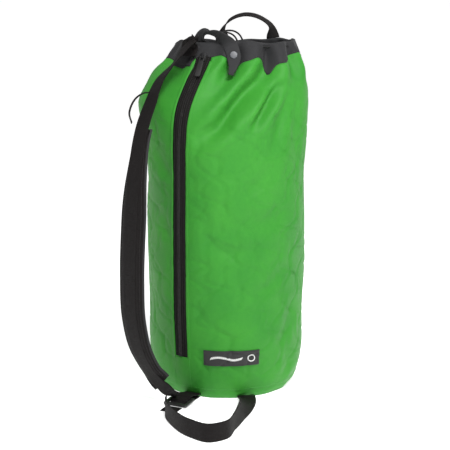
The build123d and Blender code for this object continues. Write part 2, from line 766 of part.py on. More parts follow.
wrap_plane = Plane(lock_origin, x_dir=lock_frame.y_dir, z_dir=-lock_frame.x_dir)
middle_bar = -(LOCK_BAR + LOCK_WINDOW)
with BuildPart() as webbing_in_lock:
    with BuildSketch(wrap_plane):
        with Locations((middle_bar, 0)):
            Circle(WRAP_OUTER)
            Circle(WRAP_BORE, mode=Mode.SUBTRACT)
            with Locations((-5, -5)):
                Rectangle(10, 10, mode=Mode.SUBTRACT)
        with Locations((middle_bar - 6, WRAP_OUTER - WEBBING_THICK / 2)):
            Rectangle(12, WEBBING_THICK)
    extrude(amount=WEBBING / 2 - 0.2, both=True)
finish(webbing_in_lock, "webbing_in_lock")

# ---------------------------------------------------------------- tail and base handle
with BuildPart() as tail_sewn_end:
    with BuildSketch(radial_plane(TAIL_AZIMUTH)):
        with Locations((100, TAB_LEVEL)):
            Rectangle(32, WEBBING_THICK)
    extrude(amount=WEBBING / 2, both=True)
finish(tail_sewn_end, "tail_sewn_end")

# The tail comes out flat from under the ladder lock, then turns on its edge.
tail_start_route = [(-83, -164), (-87, -173), (-92, -184)]
with BuildPart() as tail_start:
    for (x, y), turn in zip(tail_start_route, (27, 26, 22)):
        way = outward(turn)
        with BuildSketch(Plane(origin=(x, y, 1.2), x_dir=sideways(turn), z_dir=way)):
            Rectangle(WEBBING - 2, WEBBING_THICK)
    loft(ruled=True)
finish(tail_start, "tail_start")

on_edge = (0, 0, 1)
ON_EDGE_MIDDLE = WEBBING / 2 + 0.6
tail_route = [
    (-94, -187, ON_EDGE_MIDDLE),
    (-95, -202, ON_EDGE_MIDDLE),
    (-83, -246, ON_EDGE_MIDDLE),
    (-54, -295, ON_EDGE_MIDDLE),
    (-25, -316, ON_EDGE_MIDDLE),
    (1, -302, ON_EDGE_MIDDLE),
    (14, -264, ON_EDGE_MIDDLE),
    (26, -216, ON_EDGE_MIDDLE),
    (33, -170, 11),
    (35, -135, 5),
    outward(TAIL_AZIMUTH) * 121.5 + Vector(0, 0, TAB_LEVEL),
]
tail_across = [
    on_edge,
    on_edge,
    on_edge,
    on_edge,
    on_edge,
    on_edge,
    on_edge,
    (-0.3, 0, 0.95),
    (-0.8, 0, 0.6),
    (-0.97, -0.2, 0.12),
    -sideways(TAIL_AZIMUTH),
]
with BuildPart() as tail_webbing:
    for plane in band_planes(tail_route, tail_across, 33):
        with BuildSketch(plane):
            Rectangle(WEBBING, WEBBING_THICK)
    loft(ruled=True)
finish(tail_webbing, "tail_webbing")
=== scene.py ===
# %% [markdown]
# # A stuffed rope bag
# A tall bag of coated green cloth, closed at the top with a black collar, with a long zip, a
# padded shoulder strap and a tail of webbing that lies on the floor. The CAD model gives the
# frame: every piece made here stands where its CAD part stands, and rides on the same body.

from math import cos, pi, radians, sin

import bpy
import numpy as np
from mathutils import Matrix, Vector


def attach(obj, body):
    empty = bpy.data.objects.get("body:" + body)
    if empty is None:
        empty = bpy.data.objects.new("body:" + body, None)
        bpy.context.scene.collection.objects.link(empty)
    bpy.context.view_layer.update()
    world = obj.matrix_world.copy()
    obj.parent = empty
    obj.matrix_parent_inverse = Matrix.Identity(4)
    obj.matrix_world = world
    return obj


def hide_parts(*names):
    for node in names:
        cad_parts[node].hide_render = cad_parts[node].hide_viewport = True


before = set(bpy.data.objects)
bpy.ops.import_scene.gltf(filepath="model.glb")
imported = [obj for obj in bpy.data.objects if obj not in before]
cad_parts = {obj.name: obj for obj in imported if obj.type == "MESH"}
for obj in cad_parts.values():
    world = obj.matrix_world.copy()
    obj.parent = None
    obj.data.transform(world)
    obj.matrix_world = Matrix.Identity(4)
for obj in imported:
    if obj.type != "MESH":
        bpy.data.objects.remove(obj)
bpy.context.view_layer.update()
MM = 0.001

# %% [markdown]
# ## Camera, floor and light
# The bag is seen from the front and a little above. A long lens keeps its sides nearly
# parallel. The floor is plain and pale, and the light is broad and soft, as in a studio, with
# the main lamp high on the left so that the folds near the top throw soft shadows.

# %% Camera
CAMERA_PLACE = Vector((-0.001, -2.0, 0.66))
CAMERA_AIM = Vector((-0.001, 0.0, 0.268))

camera_data = bpy.data.cameras.new("camera")
camera_data.lens = 95.84
camera = bpy.data.objects.new("camera", camera_data)
camera.location = CAMERA_PLACE
camera.rotation_euler = (CAMERA_AIM - CAMERA_PLACE).to_track_quat("-Z", "Y").to_euler()
bpy.context.scene.collection.objects.link(camera)
bpy.context.scene.camera = camera
print("camera at", tuple(CAMERA_PLACE))


# %% Lamps
def soft_lamp(name, place, aim, size, power):
    """A square area lamp that points at a spot."""
    data = bpy.data.lights.new(name, "AREA")
    data.size = size
    data.energy = power
    lamp = bpy.data.objects.new(name, data)
    lamp.location = place
    lamp.rotation_euler = (Vector(aim) - Vector(place)).to_track_quat("-Z", "Y").to_euler()
    bpy.context.scene.collection.objects.link(lamp)


soft_lamp("key", (0.35, -1.15, 1.9), (0, 0, 0.35), 0.6, 40)
soft_lamp("fill", (1.6, -1.5, 0.7), (0, 0, 0.3), 1.4, 6)
soft_lamp("rim", (1.0, 1.2, 1.3), (0, 0, 0.35), 0.8, 5)

sky = bpy.data.worlds.new("studio")
sky.use_nodes = True
sky.node_tree.nodes["Background"].inputs["Color"].default_value = (1, 1, 1, 1)
sky.node_tree.nodes["Background"].inputs["Strength"].default_value = 0.4
bpy.context.scene.world = sky
bpy.context.scene.view_settings.view_transform = "Standard"
print("three lamps and a white sky")


# %% [markdown]
# ## Finishes
# Every finish is built from nodes, so that the weave, the ribs and the moulded grain have
# their real size. A small class lets a socket be used in ordinary sums, which keeps a recipe
# as short as its formula.

# %% Shader sums
class Signal:
    """A socket that ordinary arithmetic works on."""

    def __init__(self, recipe, socket):
        self.recipe = recipe
        self.socket = socket

    def join(self, operation, *values):
        node = self.recipe.node("ShaderNodeMath", {"operation": operation}, dict(enumerate(values)))
        return Signal(self.recipe, node.outputs[0])

    def __add__(self, other):
        return self.join("ADD", self, other)

    def __mul__(self, other):
        return self.join("MULTIPLY", self, other)

    __radd__ = __add__
    __rmul__ = __mul__

    def wave(self):
        return self.join("SINE", self)

    def size(self):
        return self.join("ABSOLUTE", self)



class Recipe:
    """One material and the nodes in it."""

    def __init__(self, name):
        self.material = bpy.data.materials.new(name)
        self.material.use_nodes = True
        self.nodes = self.material.node_tree.nodes
        self.shader = self.nodes["Principled BSDF"]

    def node(self, kind, settings, inputs):
        made = self.nodes.new(kind)
        for name, value in settings.items():
            if name == "stops":
                for stop, (place, colour) in zip(made.color_ramp.elements, value):
                    stop.position = place
                    stop.color = (*colour, 1)
            else:
                setattr(made, name, value)
        for name, value in inputs.items():
            self.set(made.inputs[name], value)
        return made

    def set(self, socket, value):
        if isinstance(value, Signal):
            self.material.node_tree.links.new(value.socket, socket)
        else:
            socket.default_value = value

    def surface(self, **values):
        for name, value in values.items():
            self.set(self.shader.inputs[name.replace("_", " ")], value)

    def along_cloth(self):
        """How far across and along the cloth a point lies, in metres."""
        coordinates = self.node("ShaderNodeUVMap", {"uv_map": "cloth"}, {})
        parts = self.node("ShaderNodeSeparateXYZ", {}, {0: Signal(self, coordinates.outputs[0])})
        return Signal(self, parts.outputs[0]), Signal(self, parts.outputs[1])

    def cloud(self, scale, detail=3):
        """Soft random patches on the piece, 0 to 1, so many to the metre."""
        place = self.node("ShaderNodeTexCoord", {}, {})
        inputs = {"Vector": Signal(self, place.outputs["Object"]), "Scale": scale, "Detail": detail}
        return Signal(self, self.node("ShaderNodeTexNoise", {}, inputs).outputs[0])

    def between(self, share, first, second):
        """A colour part of the way from one colour to another."""
        inputs = {0: share, 6: (*first, 1), 7: (*second, 1)}
        mix = self.node("ShaderNodeMix", {"data_type": "RGBA"}, inputs)
        return Signal(self, mix.outputs[2])

    def relief(self, height, strength, depth):
        """Small bumps from a height."""
        inputs = {"Height": height, "Strength": strength, "Distance": depth}
        bump = self.node("ShaderNodeBump", {}, inputs)
        self.set(self.shader.inputs["Normal"], Signal(self, bump.outputs[0]))


# %% [markdown]
# Coated cloth is a plain weave: threads go over and under one another at right angles, which
# is a product of two sine waves. Its colour drifts a little where the coating is thicker, and it
# holds painted shade: the crumples and the weave that make the bumps also make the colour darker
# in their hollows and paler on their ridges.

# %% Woven cloth
def woven(name, colour, pale, thread, roughness, sheen):
    recipe = Recipe(name)
    across, along = recipe.along_cloth()
    weave = (across * (2 * pi / thread)).wave() * (along * (2 * pi / thread)).wave()
    patches = recipe.cloud(14)
    crumples_and_painted_shade = recipe.cloud(160, 5)
    # painted shade: the crumple and weave noises are also the bump heights, so this colour is darker in
    # the bumps' hollows and paler on their ridges; the patches are a random tone
    tone_and_painted_shade = patches * 0.6 + crumples_and_painted_shade * 0.25 + weave * 0.06
    recipe.surface(Base_Color=recipe.between(tone_and_painted_shade, colour, pale), Sheen_Weight=sheen)
    recipe.surface(Roughness=crumples_and_painted_shade * 0.2 + (roughness - 0.1), Sheen_Roughness=0.4)
    recipe.surface(Specular_IOR_Level=0.2)
    recipe.relief(weave * 0.3 + crumples_and_painted_shade * 0.7, 0.35, 0.0006)
    return recipe.material


green_cloth = woven("green_cloth", (0.014, 0.165, 0.018), (0.062, 0.35, 0.032), 0.0011, 0.5, 0.02)
black_cloth = woven("black_cloth", (0.014, 0.014, 0.015), (0.034, 0.034, 0.036), 0.0012, 0.7, 0.06)
pad_cloth = woven("pad_cloth", (0.003, 0.0022, 0.0022), (0.010, 0.0075, 0.0075), 0.0014, 0.75, 0.04)
print("three woven cloths")


# %% [markdown]
# Webbing is woven in narrow columns. Each column leans the other way from its neighbour, so
# the ribs make small chevrons. The colour holds painted shade: it is darker in the grooves
# between the columns and the ribs and paler on their raised tops, which the bumps also follow.

# %% Webbing
def ribbed(name, colour, pale, rib, column, roughness):
    recipe = Recipe(name)
    across, along = recipe.along_cloth()
    columns = (across * (pi / column)).wave()
    lean = (across * (2 * pi / column)).wave() * 0.9
    ribs = (along * (2 * pi / rib) + lean).wave()
    wear = recipe.cloud(220, 4)
    # painted shade: the rib and column heights of the bump below also set this colour, darker in their
    # grooves; the wear is a random tone
    tone_and_painted_shade = ribs * 0.12 + columns.size() * 0.3 + wear * 0.4
    recipe.surface(Base_Color=recipe.between(tone_and_painted_shade, colour, pale), Specular_IOR_Level=0.2)
    recipe.surface(Roughness=wear * 0.25 + roughness)
    recipe.relief(ribs * 0.5 + columns.size() * 0.5, 0.55, 0.0007)
    return recipe.material


webbing = ribbed("webbing", (0.003, 0.0022, 0.0022), (0.011, 0.008, 0.008), 0.0016, 0.0024, 0.6)
zip_tape = ribbed("zip_tape", (0.003, 0.0024, 0.002), (0.009, 0.0075, 0.0065), 0.0012, 0.0016, 0.6)
braid = ribbed("braid", (0.008, 0.008, 0.008), (0.03, 0.03, 0.03), 0.0022, 0.0016, 0.55)
print("three ribbed tapes")


# %% [markdown]
# Moulded and enamelled parts have no weave. They have a fine grain, and they are slightly
# smoother in some places than in others, which shows in their highlights.

# %% Moulded parts, thread and metal
def moulded(name, colour, pale, roughness, metallic=0.0, grain=900):
    recipe = Recipe(name)
    fine = recipe.cloud(grain, 4)
    broad = recipe.cloud(45)
    recipe.surface(Base_Color=recipe.between(broad * 0.7 + fine * 0.2, colour, pale))
    recipe.surface(Roughness=fine * 0.15 + broad * 0.1 + (roughness - 0.12), Metallic=metallic)
    recipe.relief(fine, 0.25, 0.0002)
    return recipe.material


black_plastic = moulded("black_plastic", (0.010, 0.010, 0.010), (0.024, 0.023, 0.022), 0.42)
coil_plastic = moulded("coil_plastic", (0.005, 0.0045, 0.004), (0.014, 0.012, 0.011), 0.38)
label_rubber = moulded("label_rubber", (0.008, 0.008, 0.008), (0.018, 0.018, 0.018), 0.55)
label_relief = moulded("label_relief", (0.62, 0.63, 0.62), (0.78, 0.78, 0.76), 0.5)
grey_snap = moulded("grey_snap", (0.045, 0.047, 0.055), (0.08, 0.083, 0.095), 0.4)
dark_metal = moulded("dark_metal", (0.02, 0.02, 0.021), (0.05, 0.05, 0.052), 0.36, 0.7)
spring_steel = moulded("spring_steel", (0.45, 0.45, 0.46), (0.6, 0.6, 0.6), 0.3, 1.0)
green_thread = moulded("green_thread", (0.03, 0.27, 0.03), (0.07, 0.40, 0.05), 0.6)
black_thread = moulded("black_thread", (0.012, 0.012, 0.012), (0.035, 0.033, 0.032), 0.6)
print("nine plain finishes")

# %% [markdown]
# ## The form of the bag
# The stuffed bag is an ellipse at every height. The measures are the CAD model's, but the
# curve through them is smooth, because cloth does not bend in straight steps. A turn of 0 is
# the front, and a positive turn goes towards the right-hand side.

# %% The form
HEIGHTS = np.array([0, 8, 22, 50, 110, 230, 370, 425, 455, 480, 502, 525, 548, 578], float)
SHIFTS = np.array([0, 0, 0, 0, 0, 0, 0, -1, -3, -4, -1, 4, 12, 17], float)
HALF_WIDTHS = np.array([112, 118, 123, 128, 131.5, 133, 132.5, 135, 138, 140, 136, 126, 111, 98])
HALF_DEPTHS = np.array([116, 121, 125, 128, 131, 132, 130.5, 127, 120.5, 109, 94, 77, 62, 51])
ZIP_AZIMUTH = radians(34.45)
ZIP_LOW = 68.0
ZIP_HIGH = 561.0
SLOT_HALF = 13.0
SEAM = 548.0
RIM = 578.0


def smooth_step(value, low, high):
    share = np.clip((value - low) / (high - low), 0, 1)
    return share * share * (3 - 2 * share)


def smooth_curve(places, values, at):
    """A smooth curve through values at given places."""
    at = np.clip(at, places[0], places[-1])
    slopes = np.gradient(values, places)
    index = np.clip(np.searchsorted(places, at, side="right") - 1, 0, len(places) - 2)
    width = places[index + 1] - places[index]
    part = (at - places[index]) / width
    rise = values[index + 1] - values[index]
    bend_in = slopes[index] * width - rise
    bend_out = -slopes[index + 1] * width + rise
    curve = part * (1 - part) * (bend_in * (1 - part) + bend_out * part)
    return values[index] + part * rise + curve


def section(height):
    sizes = (SHIFTS, HALF_WIDTHS, HALF_DEPTHS)
    return [smooth_curve(HEIGHTS, sizes_at, height) for sizes_at in sizes]


def zip_turn(height):
    """The turn at which the zip's middle lies, in one upright plane."""
    shift, half_width, half_depth = section(height)
    way_x, way_y = -sin(ZIP_AZIMUTH), -cos(ZIP_AZIMUTH)
    a = (way_x / half_width) ** 2 + (way_y / half_depth) ** 2
    b = -shift * way_x / half_width**2
    c = (shift / half_width) ** 2 - 1
    reach = (-b + np.sqrt(b * b - a * c)) / a
    x = way_x * reach
    y = way_y * reach
    return np.arctan2((x - shift) / half_width, -y / half_depth)


def arc_speed(turn, height):
    """Millimetres along the section for each radian of turn."""
    _, half_width, half_depth = section(height)
    return np.sqrt((half_width * np.cos(turn)) ** 2 + (half_depth * np.sin(turn)) ** 2)


def turn_beside_zip(height, aside):
    """The turn of a point so many millimetres to the right of the zip's middle."""
    middle = zip_turn(height)
    return middle + aside / arc_speed(middle, height)


print("zip at turn", round(float(zip_turn(np.array(300.0))), 3))

# %% [markdown]
# ## Folds
# Cloth that is drawn in at the collar falls into gathers, which fade out below the shoulder.
# Longer creases run down and to the left from the collar, where the load inside pulls. Lower
# down the cloth only swells and dents a little. Each of these is a small push in or out of
# the smooth form, so all the pieces sewn to the cloth can follow the same folds.

# %% Folds
GATHERS = [  # turn, depth, width in radians at the seam, height where it has faded
    (0.02, 11, 0.085, 478),
    (0.53, 12, 0.095, 470),
    (-0.74, 7, 0.08, 470),
    (1.06, 7, 0.10, 480),
    (1.55, 6, 0.09, 470),
    (2.02, 8, 0.10, 455),
    (2.55, 7, 0.11, 470),
    (3.10, 9, 0.10, 455),
    (3.62, 7, 0.11, 465),
    (4.12, 8, 0.10, 460),
    (4.70, 6, 0.10, 470),
]
CREASES = [  # points (x, height) on the front, depth, width
    ([(55, 520), (34, 500), (14, 478), (-12, 446), (-42, 428)], 13, 12),
    ([(84, 508), (72, 488), (58, 466), (43, 442)], 9.0, 7),
    ([(4, 524), (-8, 504), (-26, 486)], 4.0, 9),
    ([(104, 520), (100, 480), (84, 436), (72, 390)], 3.6, 9),
    ([(118, 500), (112, 440), (116, 380)], 2.6, 7),
    ([(70, 376), (46, 352), (22, 338)], 2.4, 10),
    ([(92, 306), (60, 292), (30, 300)], 2.2, 12),
    ([(-30, 260), (10, 246), (58, 252)], 1.7, 9),
    ([(96, 214), (70, 186), (48, 178)], 2.2, 9),
    ([(112, 150), (104, 110), (92, 84)], 3.0, 8),
    ([(-112, 410), (-98, 376), (-84, 360)], 3.0, 9),
    ([(-104, 300), (-94, 270), (-86, 262)], 2.2, 8),
    ([(-84, 210), (-74, 196), (-64, 192)], 1.6, 7),
    ([(100, 66), (108, 46), (96, 26)], 3.4, 7),
]
RIPPLES = [  # turns round the bag, waves up the bag, phase, size
    (3, 0.9, 0.4, 1.2),
    (5, -1.6, 2.1, 0.9),
    (2, 2.7, 4.0, 1.0),
    (7, 3.8, 1.2, 0.6),
    (4, -5.1, 5.3, 0.5),
]
BUCKLES = [(6, 7.5, 0.3), (9, -10.5, 2.2), (5, 13.0, 4.4)]
BUCKLE_DEPTH = 1.5
GATHER_STRENGTH = 1.3
CREASE_STRENGTH = 1.35


def away_from_line(x, height, points):
    """Distance from a broken line, and how far along it the nearest point is, 0 to 1."""
    best = np.full(np.shape(x), 1e9)
    place = np.zeros(np.shape(x))
    count = len(points) - 1
    for i, (start, end) in enumerate(zip(points, points[1:])):
        run = np.array(end, float) - np.array(start, float)
        share = ((x - start[0]) * run[0] + (height - start[1]) * run[1]) / (run @ run)
        share = np.clip(share, 0, 1)
        away = np.hypot(x - start[0] - share * run[0], height - start[1] - share * run[1])
        place = np.where(away < best, (i + share) / count, place)
        best = np.minimum(best, away)
    return best, place


def fold(turn, height):
    """How far the cloth is pushed out of the smooth form, in millimetres."""
    shift, half_width, half_depth = section(height)
    x = shift + half_width * np.sin(turn)
    front = smooth_step(np.cos(turn), -0.15, 0.25)
    push = np.zeros(np.shape(x))
    for middle, depth, width, faded in GATHERS:
        depth = GATHER_STRENGTH * depth
        drift = (SEAM - height) * 0.0006
        away = np.angle(np.exp(1j * (turn - middle + drift)))
        spread = width * (1 + np.clip((SEAM - height) / 45, 0, 3))
        fade = smooth_step(height, faded, SEAM + 2) * (1 - 0.75 * smooth_step(height, SEAM + 2, RIM))
        push -= depth * fade * np.exp(-((away / spread) ** 2))
        push += 0.45 * depth * fade * np.exp(-(((np.abs(away) - 2.1 * spread) / spread) ** 2))
    for points, depth, width in CREASES:
        depth = CREASE_STRENGTH * depth
        away, place = away_from_line(x, height, points)
        body = np.sin(pi * np.clip(place * 0.9 + 0.08, 0, 1)) ** 0.6
        push -= depth * body * front * np.exp(-((away / width) ** 2))
        push += 0.35 * depth * body * front * np.exp(-(((away - 2.0 * width) / width) ** 2))
    up = height / 100
    swell = sum(size * np.sin(n * turn + k * up + phase) for n, k, phase, size in RIPPLES)
    low = smooth_step(height, 8, 60)
    push += swell * low * (1 - smooth_step(height, 520, 560))
    warp = 0.5 * np.sin(3 * turn + 2.2 * up)
    for n, k, phase in BUCKLES:
        line = np.sin(n * turn + 0.35 * k * up + phase + warp) + 0.5 * np.sin(k * up - 2 * turn)
        groove = np.exp(-((line / 0.16) ** 2)) * (1 - smooth_step(height, 430, 520))
        push -= BUCKLE_DEPTH * low * groove
    hem = np.exp(-(((height - 13) / 3.5) ** 2))
    push -= hem * (1.3 + 0.8 * np.sin(17 * turn) * np.sin(5 * turn + 1))
    push += 1.6 * np.sin(11 * turn + 0.6) * np.sin(4 * turn) * smooth_step(height, 45, 18)
    aside = np.angle(np.exp(1j * (turn - zip_turn(height)))) * arc_speed(turn, height)
    crumple = np.sin(14 * turn + 0.05 * height) + 0.7 * np.sin(23 * turn - 0.09 * height + 1)
    push += 1.1 * crumple * smooth_step(height, SEAM + 3, SEAM + 16)
    calm = 1 - 0.85 * np.exp(-((aside / 22) ** 2))
    return push * calm


def skin(turn, height, lift=0.0):
    """A point on the folded cloth, in metres, so many millimetres above it."""
    turn, height = np.broadcast_arrays(np.asarray(turn, float), np.asarray(height, float))
    shift, half_width, half_depth = section(height)
    out_x = np.sin(turn) / half_width
    out_y = -np.cos(turn) / half_depth
    scale = (fold(turn, height) + lift) / np.hypot(out_x, out_y)
    x = shift + half_width * np.sin(turn) + out_x * scale
    y = -half_depth * np.cos(turn) + out_y * scale
    return np.stack([x, y, height], -1) * MM


print("gathers", len(GATHERS), "crumples_and_painted_shade", len(CREASES))


# %% [markdown]
# ## Making meshes
# Most pieces are a grid of points: rows up the piece and columns across it. The grid keeps
# the cloth's own distances in a UV map, in metres, so that the weave has one size on every
# piece. Solidify then gives the cloth its thickness.

# %% Grids
def new_piece(name, points, faces, material, uvs=None):
    """A mesh object at the origin, shaded smooth."""
    mesh = bpy.data.meshes.new(name)
    mesh.from_pydata([tuple(p) for p in points], [], faces)
    if uvs is not None:
        layer = mesh.uv_layers.new(name="cloth")
        loops = np.zeros(len(mesh.loops), np.int64)
        mesh.loops.foreach_get("vertex_index", loops)
        layer.data.foreach_set("uv", np.asarray(uvs)[loops].ravel())
    mesh.materials.append(material)
    mesh.shade_smooth()
    piece = bpy.data.objects.new(name, mesh)
    bpy.context.scene.collection.objects.link(piece)
    return piece


def grid_piece(name, points, distances, material, keep=None):
    """A grid of points, rows by columns, with the cloth distance of each point."""
    rows, columns = points.shape[:2]
    faces = []
    for i in range(rows - 1):
        for j in range(columns - 1):
            if keep is None or keep[i, j]:
                at = i * columns + j
                faces.append((at, at + 1, at + columns + 1, at + columns))
    return new_piece(name, points.reshape(-1, 3), faces, material, distances.reshape(-1, 2))


def finished(piece, thickness=0.0, weld=0.0, bevel=0.0):
    """Welds, thickens and tidies a piece, and leaves it with no modifiers."""
    if weld:
        piece.modifiers.new("weld", "WELD").merge_threshold = weld
    if thickness:
        wall = piece.modifiers.new("wall", "SOLIDIFY")
        wall.thickness = thickness
        wall.offset = -1
    if bevel:
        edge = piece.modifiers.new("edge", "BEVEL")
        edge.width = bevel
        edge.segments = 2
        edge.limit_method = "ANGLE"
    graph = bpy.context.evaluated_depsgraph_get()
    mesh = bpy.data.meshes.new_from_object(piece.evaluated_get(graph))
    old = piece.data
    piece.modifiers.clear()
    piece.data = mesh
    bpy.data.meshes.remove(old)
    mesh.name = piece.name
    print(piece.name, "faces", len(mesh.polygons))
    return piece


def place(piece, body, slot, *nodes):
    """Rides a piece on its body, in place of its CAD nodes."""
    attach(piece, body)
    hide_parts(*nodes)
    return piece


def settle(piece, body, slot, *nodes, **wall):
    """Finishes a piece and places it."""
    return place(finished(piece, **wall), body, slot, *nodes)


# %% [markdown]
# ## The green body and the black collar
# On the real bag the two cloths meet in a seam that hangs lower in each gather and higher on
# each fold. Both pieces come from the same skin, so they meet exactly. The zip's slit is left
# open between two columns of the grid.

# %% Body
SEAM_LINE = [  # turn, height of the seam
    (-pi, 540), (-2.66, 546), (-2.16, 538), (-1.58, 548), (-1.2, 550), (-0.98, 545), (-0.82, 537),
    (-0.72, 536), (-0.66, 544), (-0.56, 555), (-0.35, 554), (-0.16, 556), (-0.07, 549), (0.02, 528),
    (0.12, 544), (0.24, 550), (0.38, 553), (0.47, 543), (0.545, 526), (0.66, 541), (0.86, 546),
    (1.1, 556), (1.3, 560), (1.55, 549), (1.78, 552), (2.02, 538), (2.28, 549), (2.55, 540),
    (2.85, 550), (pi, 540),
]
COLUMNS = 204
SLOT_COLUMNS = 8


def seam_height(turn):
    turn = np.angle(np.exp(1j * turn))
    turns, heights = (np.array(values, float) for values in zip(*SEAM_LINE))
    return smooth_curve(turns, heights, turn)


def turns_at(height):
    """The grid's turns at each height: the zip's slot first, then once round the bag."""
    middle = zip_turn(height)[:, None]
    half = (SLOT_HALF / arc_speed(zip_turn(height), height))[:, None]
    slot = np.linspace(-1, 1, SLOT_COLUMNS + 1)[None, :-1] * half
    rest = half + np.linspace(0, 1, COLUMNS + 1)[None, :] * (2 * pi - 2 * half)
    return middle + np.concatenate([slot, rest], 1)


USUAL_RADIUS = 129.5


def cloth_distances(turn, height):
    """Distance round the bag, and up it, in metres."""
    return np.stack([turn * USUAL_RADIUS * MM, height * MM], -1)


body_rows = np.concatenate([np.linspace(0, ZIP_LOW, 27), np.linspace(ZIP_LOW, SEAM, 162)[1:]])
body_turns = turns_at(body_rows)
drop = smooth_step(body_rows, 440, SEAM)[:, None]
body_heights = body_rows[:, None] + drop * (seam_height(body_turns) - SEAM)
body_keep = np.ones((len(body_rows) - 1, body_turns.shape[1] - 1), bool)
body_keep[body_rows[:-1] >= ZIP_LOW - 0.1, :SLOT_COLUMNS] = False
body = grid_piece(
    "green_body",
    skin(body_turns, body_heights),
    cloth_distances(body_turns, body_heights),
    green_cloth,
    body_keep,
)
settle(body, "bag", "green_cloth", "body_panel", thickness=0.0011, weld=0.00002)

# %% [markdown]
# The collar goes up from the seam, turns over a soft rim, and comes down inside as the hem
# that the drawcord runs in. It is one strip of cloth, so it is one grid.

# %% Collar
RIM_RADIUS = 3.4
up_rows = np.linspace(0, 1, 13)
rim_rows = np.linspace(0, pi, 9)[1:]
down_rows = np.linspace(0, 1, 7)[1:]
rim_line = RIM - RIM_RADIUS


def collar_grid(turn_row):
    """Points of the collar for turns taken at the rim's height."""
    low = seam_height(turn_row)
    rim = rim_line + 1.6 * np.sin(5 * turn_row + 1) + 1.2 * np.sin(9 * turn_row)
    rim = rim + 4.5 * np.exp(-(((turn_row - 2.0) / 0.5) ** 2))
    rows = [skin(turn_row, low + share * (rim - low)) for share in up_rows]
    for angle in rim_rows:
        rows.append(skin(turn_row, rim + RIM_RADIUS * sin(angle), -RIM_RADIUS * (1 - cos(angle))))
    for share in down_rows:
        rows.append(skin(turn_row, rim - share * 13, -2 * RIM_RADIUS - 1.2 * share))
    return np.stack(rows)


collar_turns = turns_at(np.full(1, RIM))[0]
collar_points = collar_grid(collar_turns)
run_up = np.cumsum(np.r_[0, np.linalg.norm(np.diff(collar_points[:, 0], axis=0), axis=1)])
collar_uv = np.stack(
    np.broadcast_arrays(collar_turns[None, :] * 0.11, run_up[:, None]),
    -1,
)
collar = grid_piece("black_collar", collar_points, collar_uv, black_cloth)
settle(collar, "bag", "black_cloth", "collar", "collar_hem", thickness=0.0011, weld=0.00002)


# %% [markdown]
# ## Repeated items
# Stitches, the teeth of the zip's coil and the twist on the label are all one small shape
# repeated along a line. One Geometry Nodes tree makes them: it divides the line into equal
# steps, puts a shape on each step, turned along the line, and joins them all.

# %% The repeating tree
def repeating_tree():
    tree = bpy.data.node_groups.new("shapes_along_a_line", "GeometryNodeTree")
    inputs = {"Line": "Geometry", "Step": "Float", "Size": "Vector", "Slant": "Vector",
              "Finish": "Material"}
    for name, kind in inputs.items():
        tree.interface.new_socket(name, in_out="INPUT", socket_type=f"NodeSocket{kind}")
    tree.interface.new_socket("Shapes", in_out="OUTPUT", socket_type="NodeSocketGeometry")

    def node(kind, **settings):
        made = tree.nodes.new(kind)
        for name, value in settings.items():
            setattr(made, name, value)
        return made

    entry = node("NodeGroupInput")
    curve = node("GeometryNodeMeshToCurve")
    steps = node("GeometryNodeResampleCurve", mode="LENGTH")
    ball = node("GeometryNodeMeshUVSphere")
    ball.inputs["Segments"].default_value = 8
    ball.inputs["Rings"].default_value = 5
    ball.inputs["Radius"].default_value = 0.5
    stretch = node("GeometryNodeTransform")
    way = node("GeometryNodeInputTangent")
    out = node("GeometryNodeInputNamedAttribute", data_type="FLOAT_VECTOR")
    out.inputs["Name"].default_value = "outward"
    along = node("FunctionNodeAlignRotationToVector", axis="Z")
    facing = node("FunctionNodeAlignRotationToVector", axis="X", pivot_axis="Z")
    spread = node("GeometryNodeInstanceOnPoints")
    joined = node("GeometryNodeRealizeInstances")
    smooth = node("GeometryNodeSetShadeSmooth")
    finish = node("GeometryNodeSetMaterial")
    leave = node("NodeGroupOutput")
    for source, output, target, socket in (
        (entry, "Line", curve, "Mesh"),
        (curve, "Curve", steps, "Curve"),
        (entry, "Step", steps, "Length"),
        (ball, "Mesh", stretch, "Geometry"),
        (entry, "Size", stretch, "Scale"),
        (entry, "Slant", stretch, "Rotation"),
        (way, "Tangent", along, "Vector"),
        (along, "Rotation", facing, "Rotation"),
        (out, "Attribute", facing, "Vector"),
        (steps, "Curve", spread, "Points"),
        (stretch, "Geometry", spread, "Instance"),
        (facing, "Rotation", spread, "Rotation"),
        (spread, "Instances", joined, "Geometry"),
        (joined, "Geometry", smooth, "Geometry"),
        (smooth, "Geometry", finish, "Geometry"),
        (entry, "Finish", finish, "Material"),
        (finish, "Geometry", leave, "Shapes"),
    ):
        tree.links.new(source.outputs[output], target.inputs[socket])
    return tree


SHAPES = repeating_tree()
STITCH = (0.0006, 0.0006, 0.0028)
STITCH_STEP = 0.0036


def repeated(name, lines, step, size, material, slant=0.0):
    """Shapes along lines. Each line is (points, outward directions), in metres."""
    points, outs, edges = [], [], []
    for line, out in lines:
        start = len(points)
        points += [tuple(p) for p in line]
        outs += [tuple(o) for o in out]
        edges += [(start + i, start + i + 1) for i in range(len(line) - 1)]
    mesh = bpy.data.meshes.new(name)
    mesh.from_pydata(points, edges, [])
    layer = mesh.attributes.new("outward", "FLOAT_VECTOR", "POINT")
    layer.data.foreach_set("vector", np.asarray(outs, float).ravel())
    piece = bpy.data.objects.new(name, mesh)
    bpy.context.scene.collection.objects.link(piece)
    maker = piece.modifiers.new("repeat", "NODES")
    maker.node_group = SHAPES
    sockets = {s.name: s.identifier for s in SHAPES.interface.items_tree if s.in_out == "INPUT"}
    maker[sockets["Step"]] = step
    maker[sockets["Size"]] = size
    maker[sockets["Slant"]] = (slant, 0.0, 0.0)
    maker[sockets["Finish"]] = material
    return finished(piece)


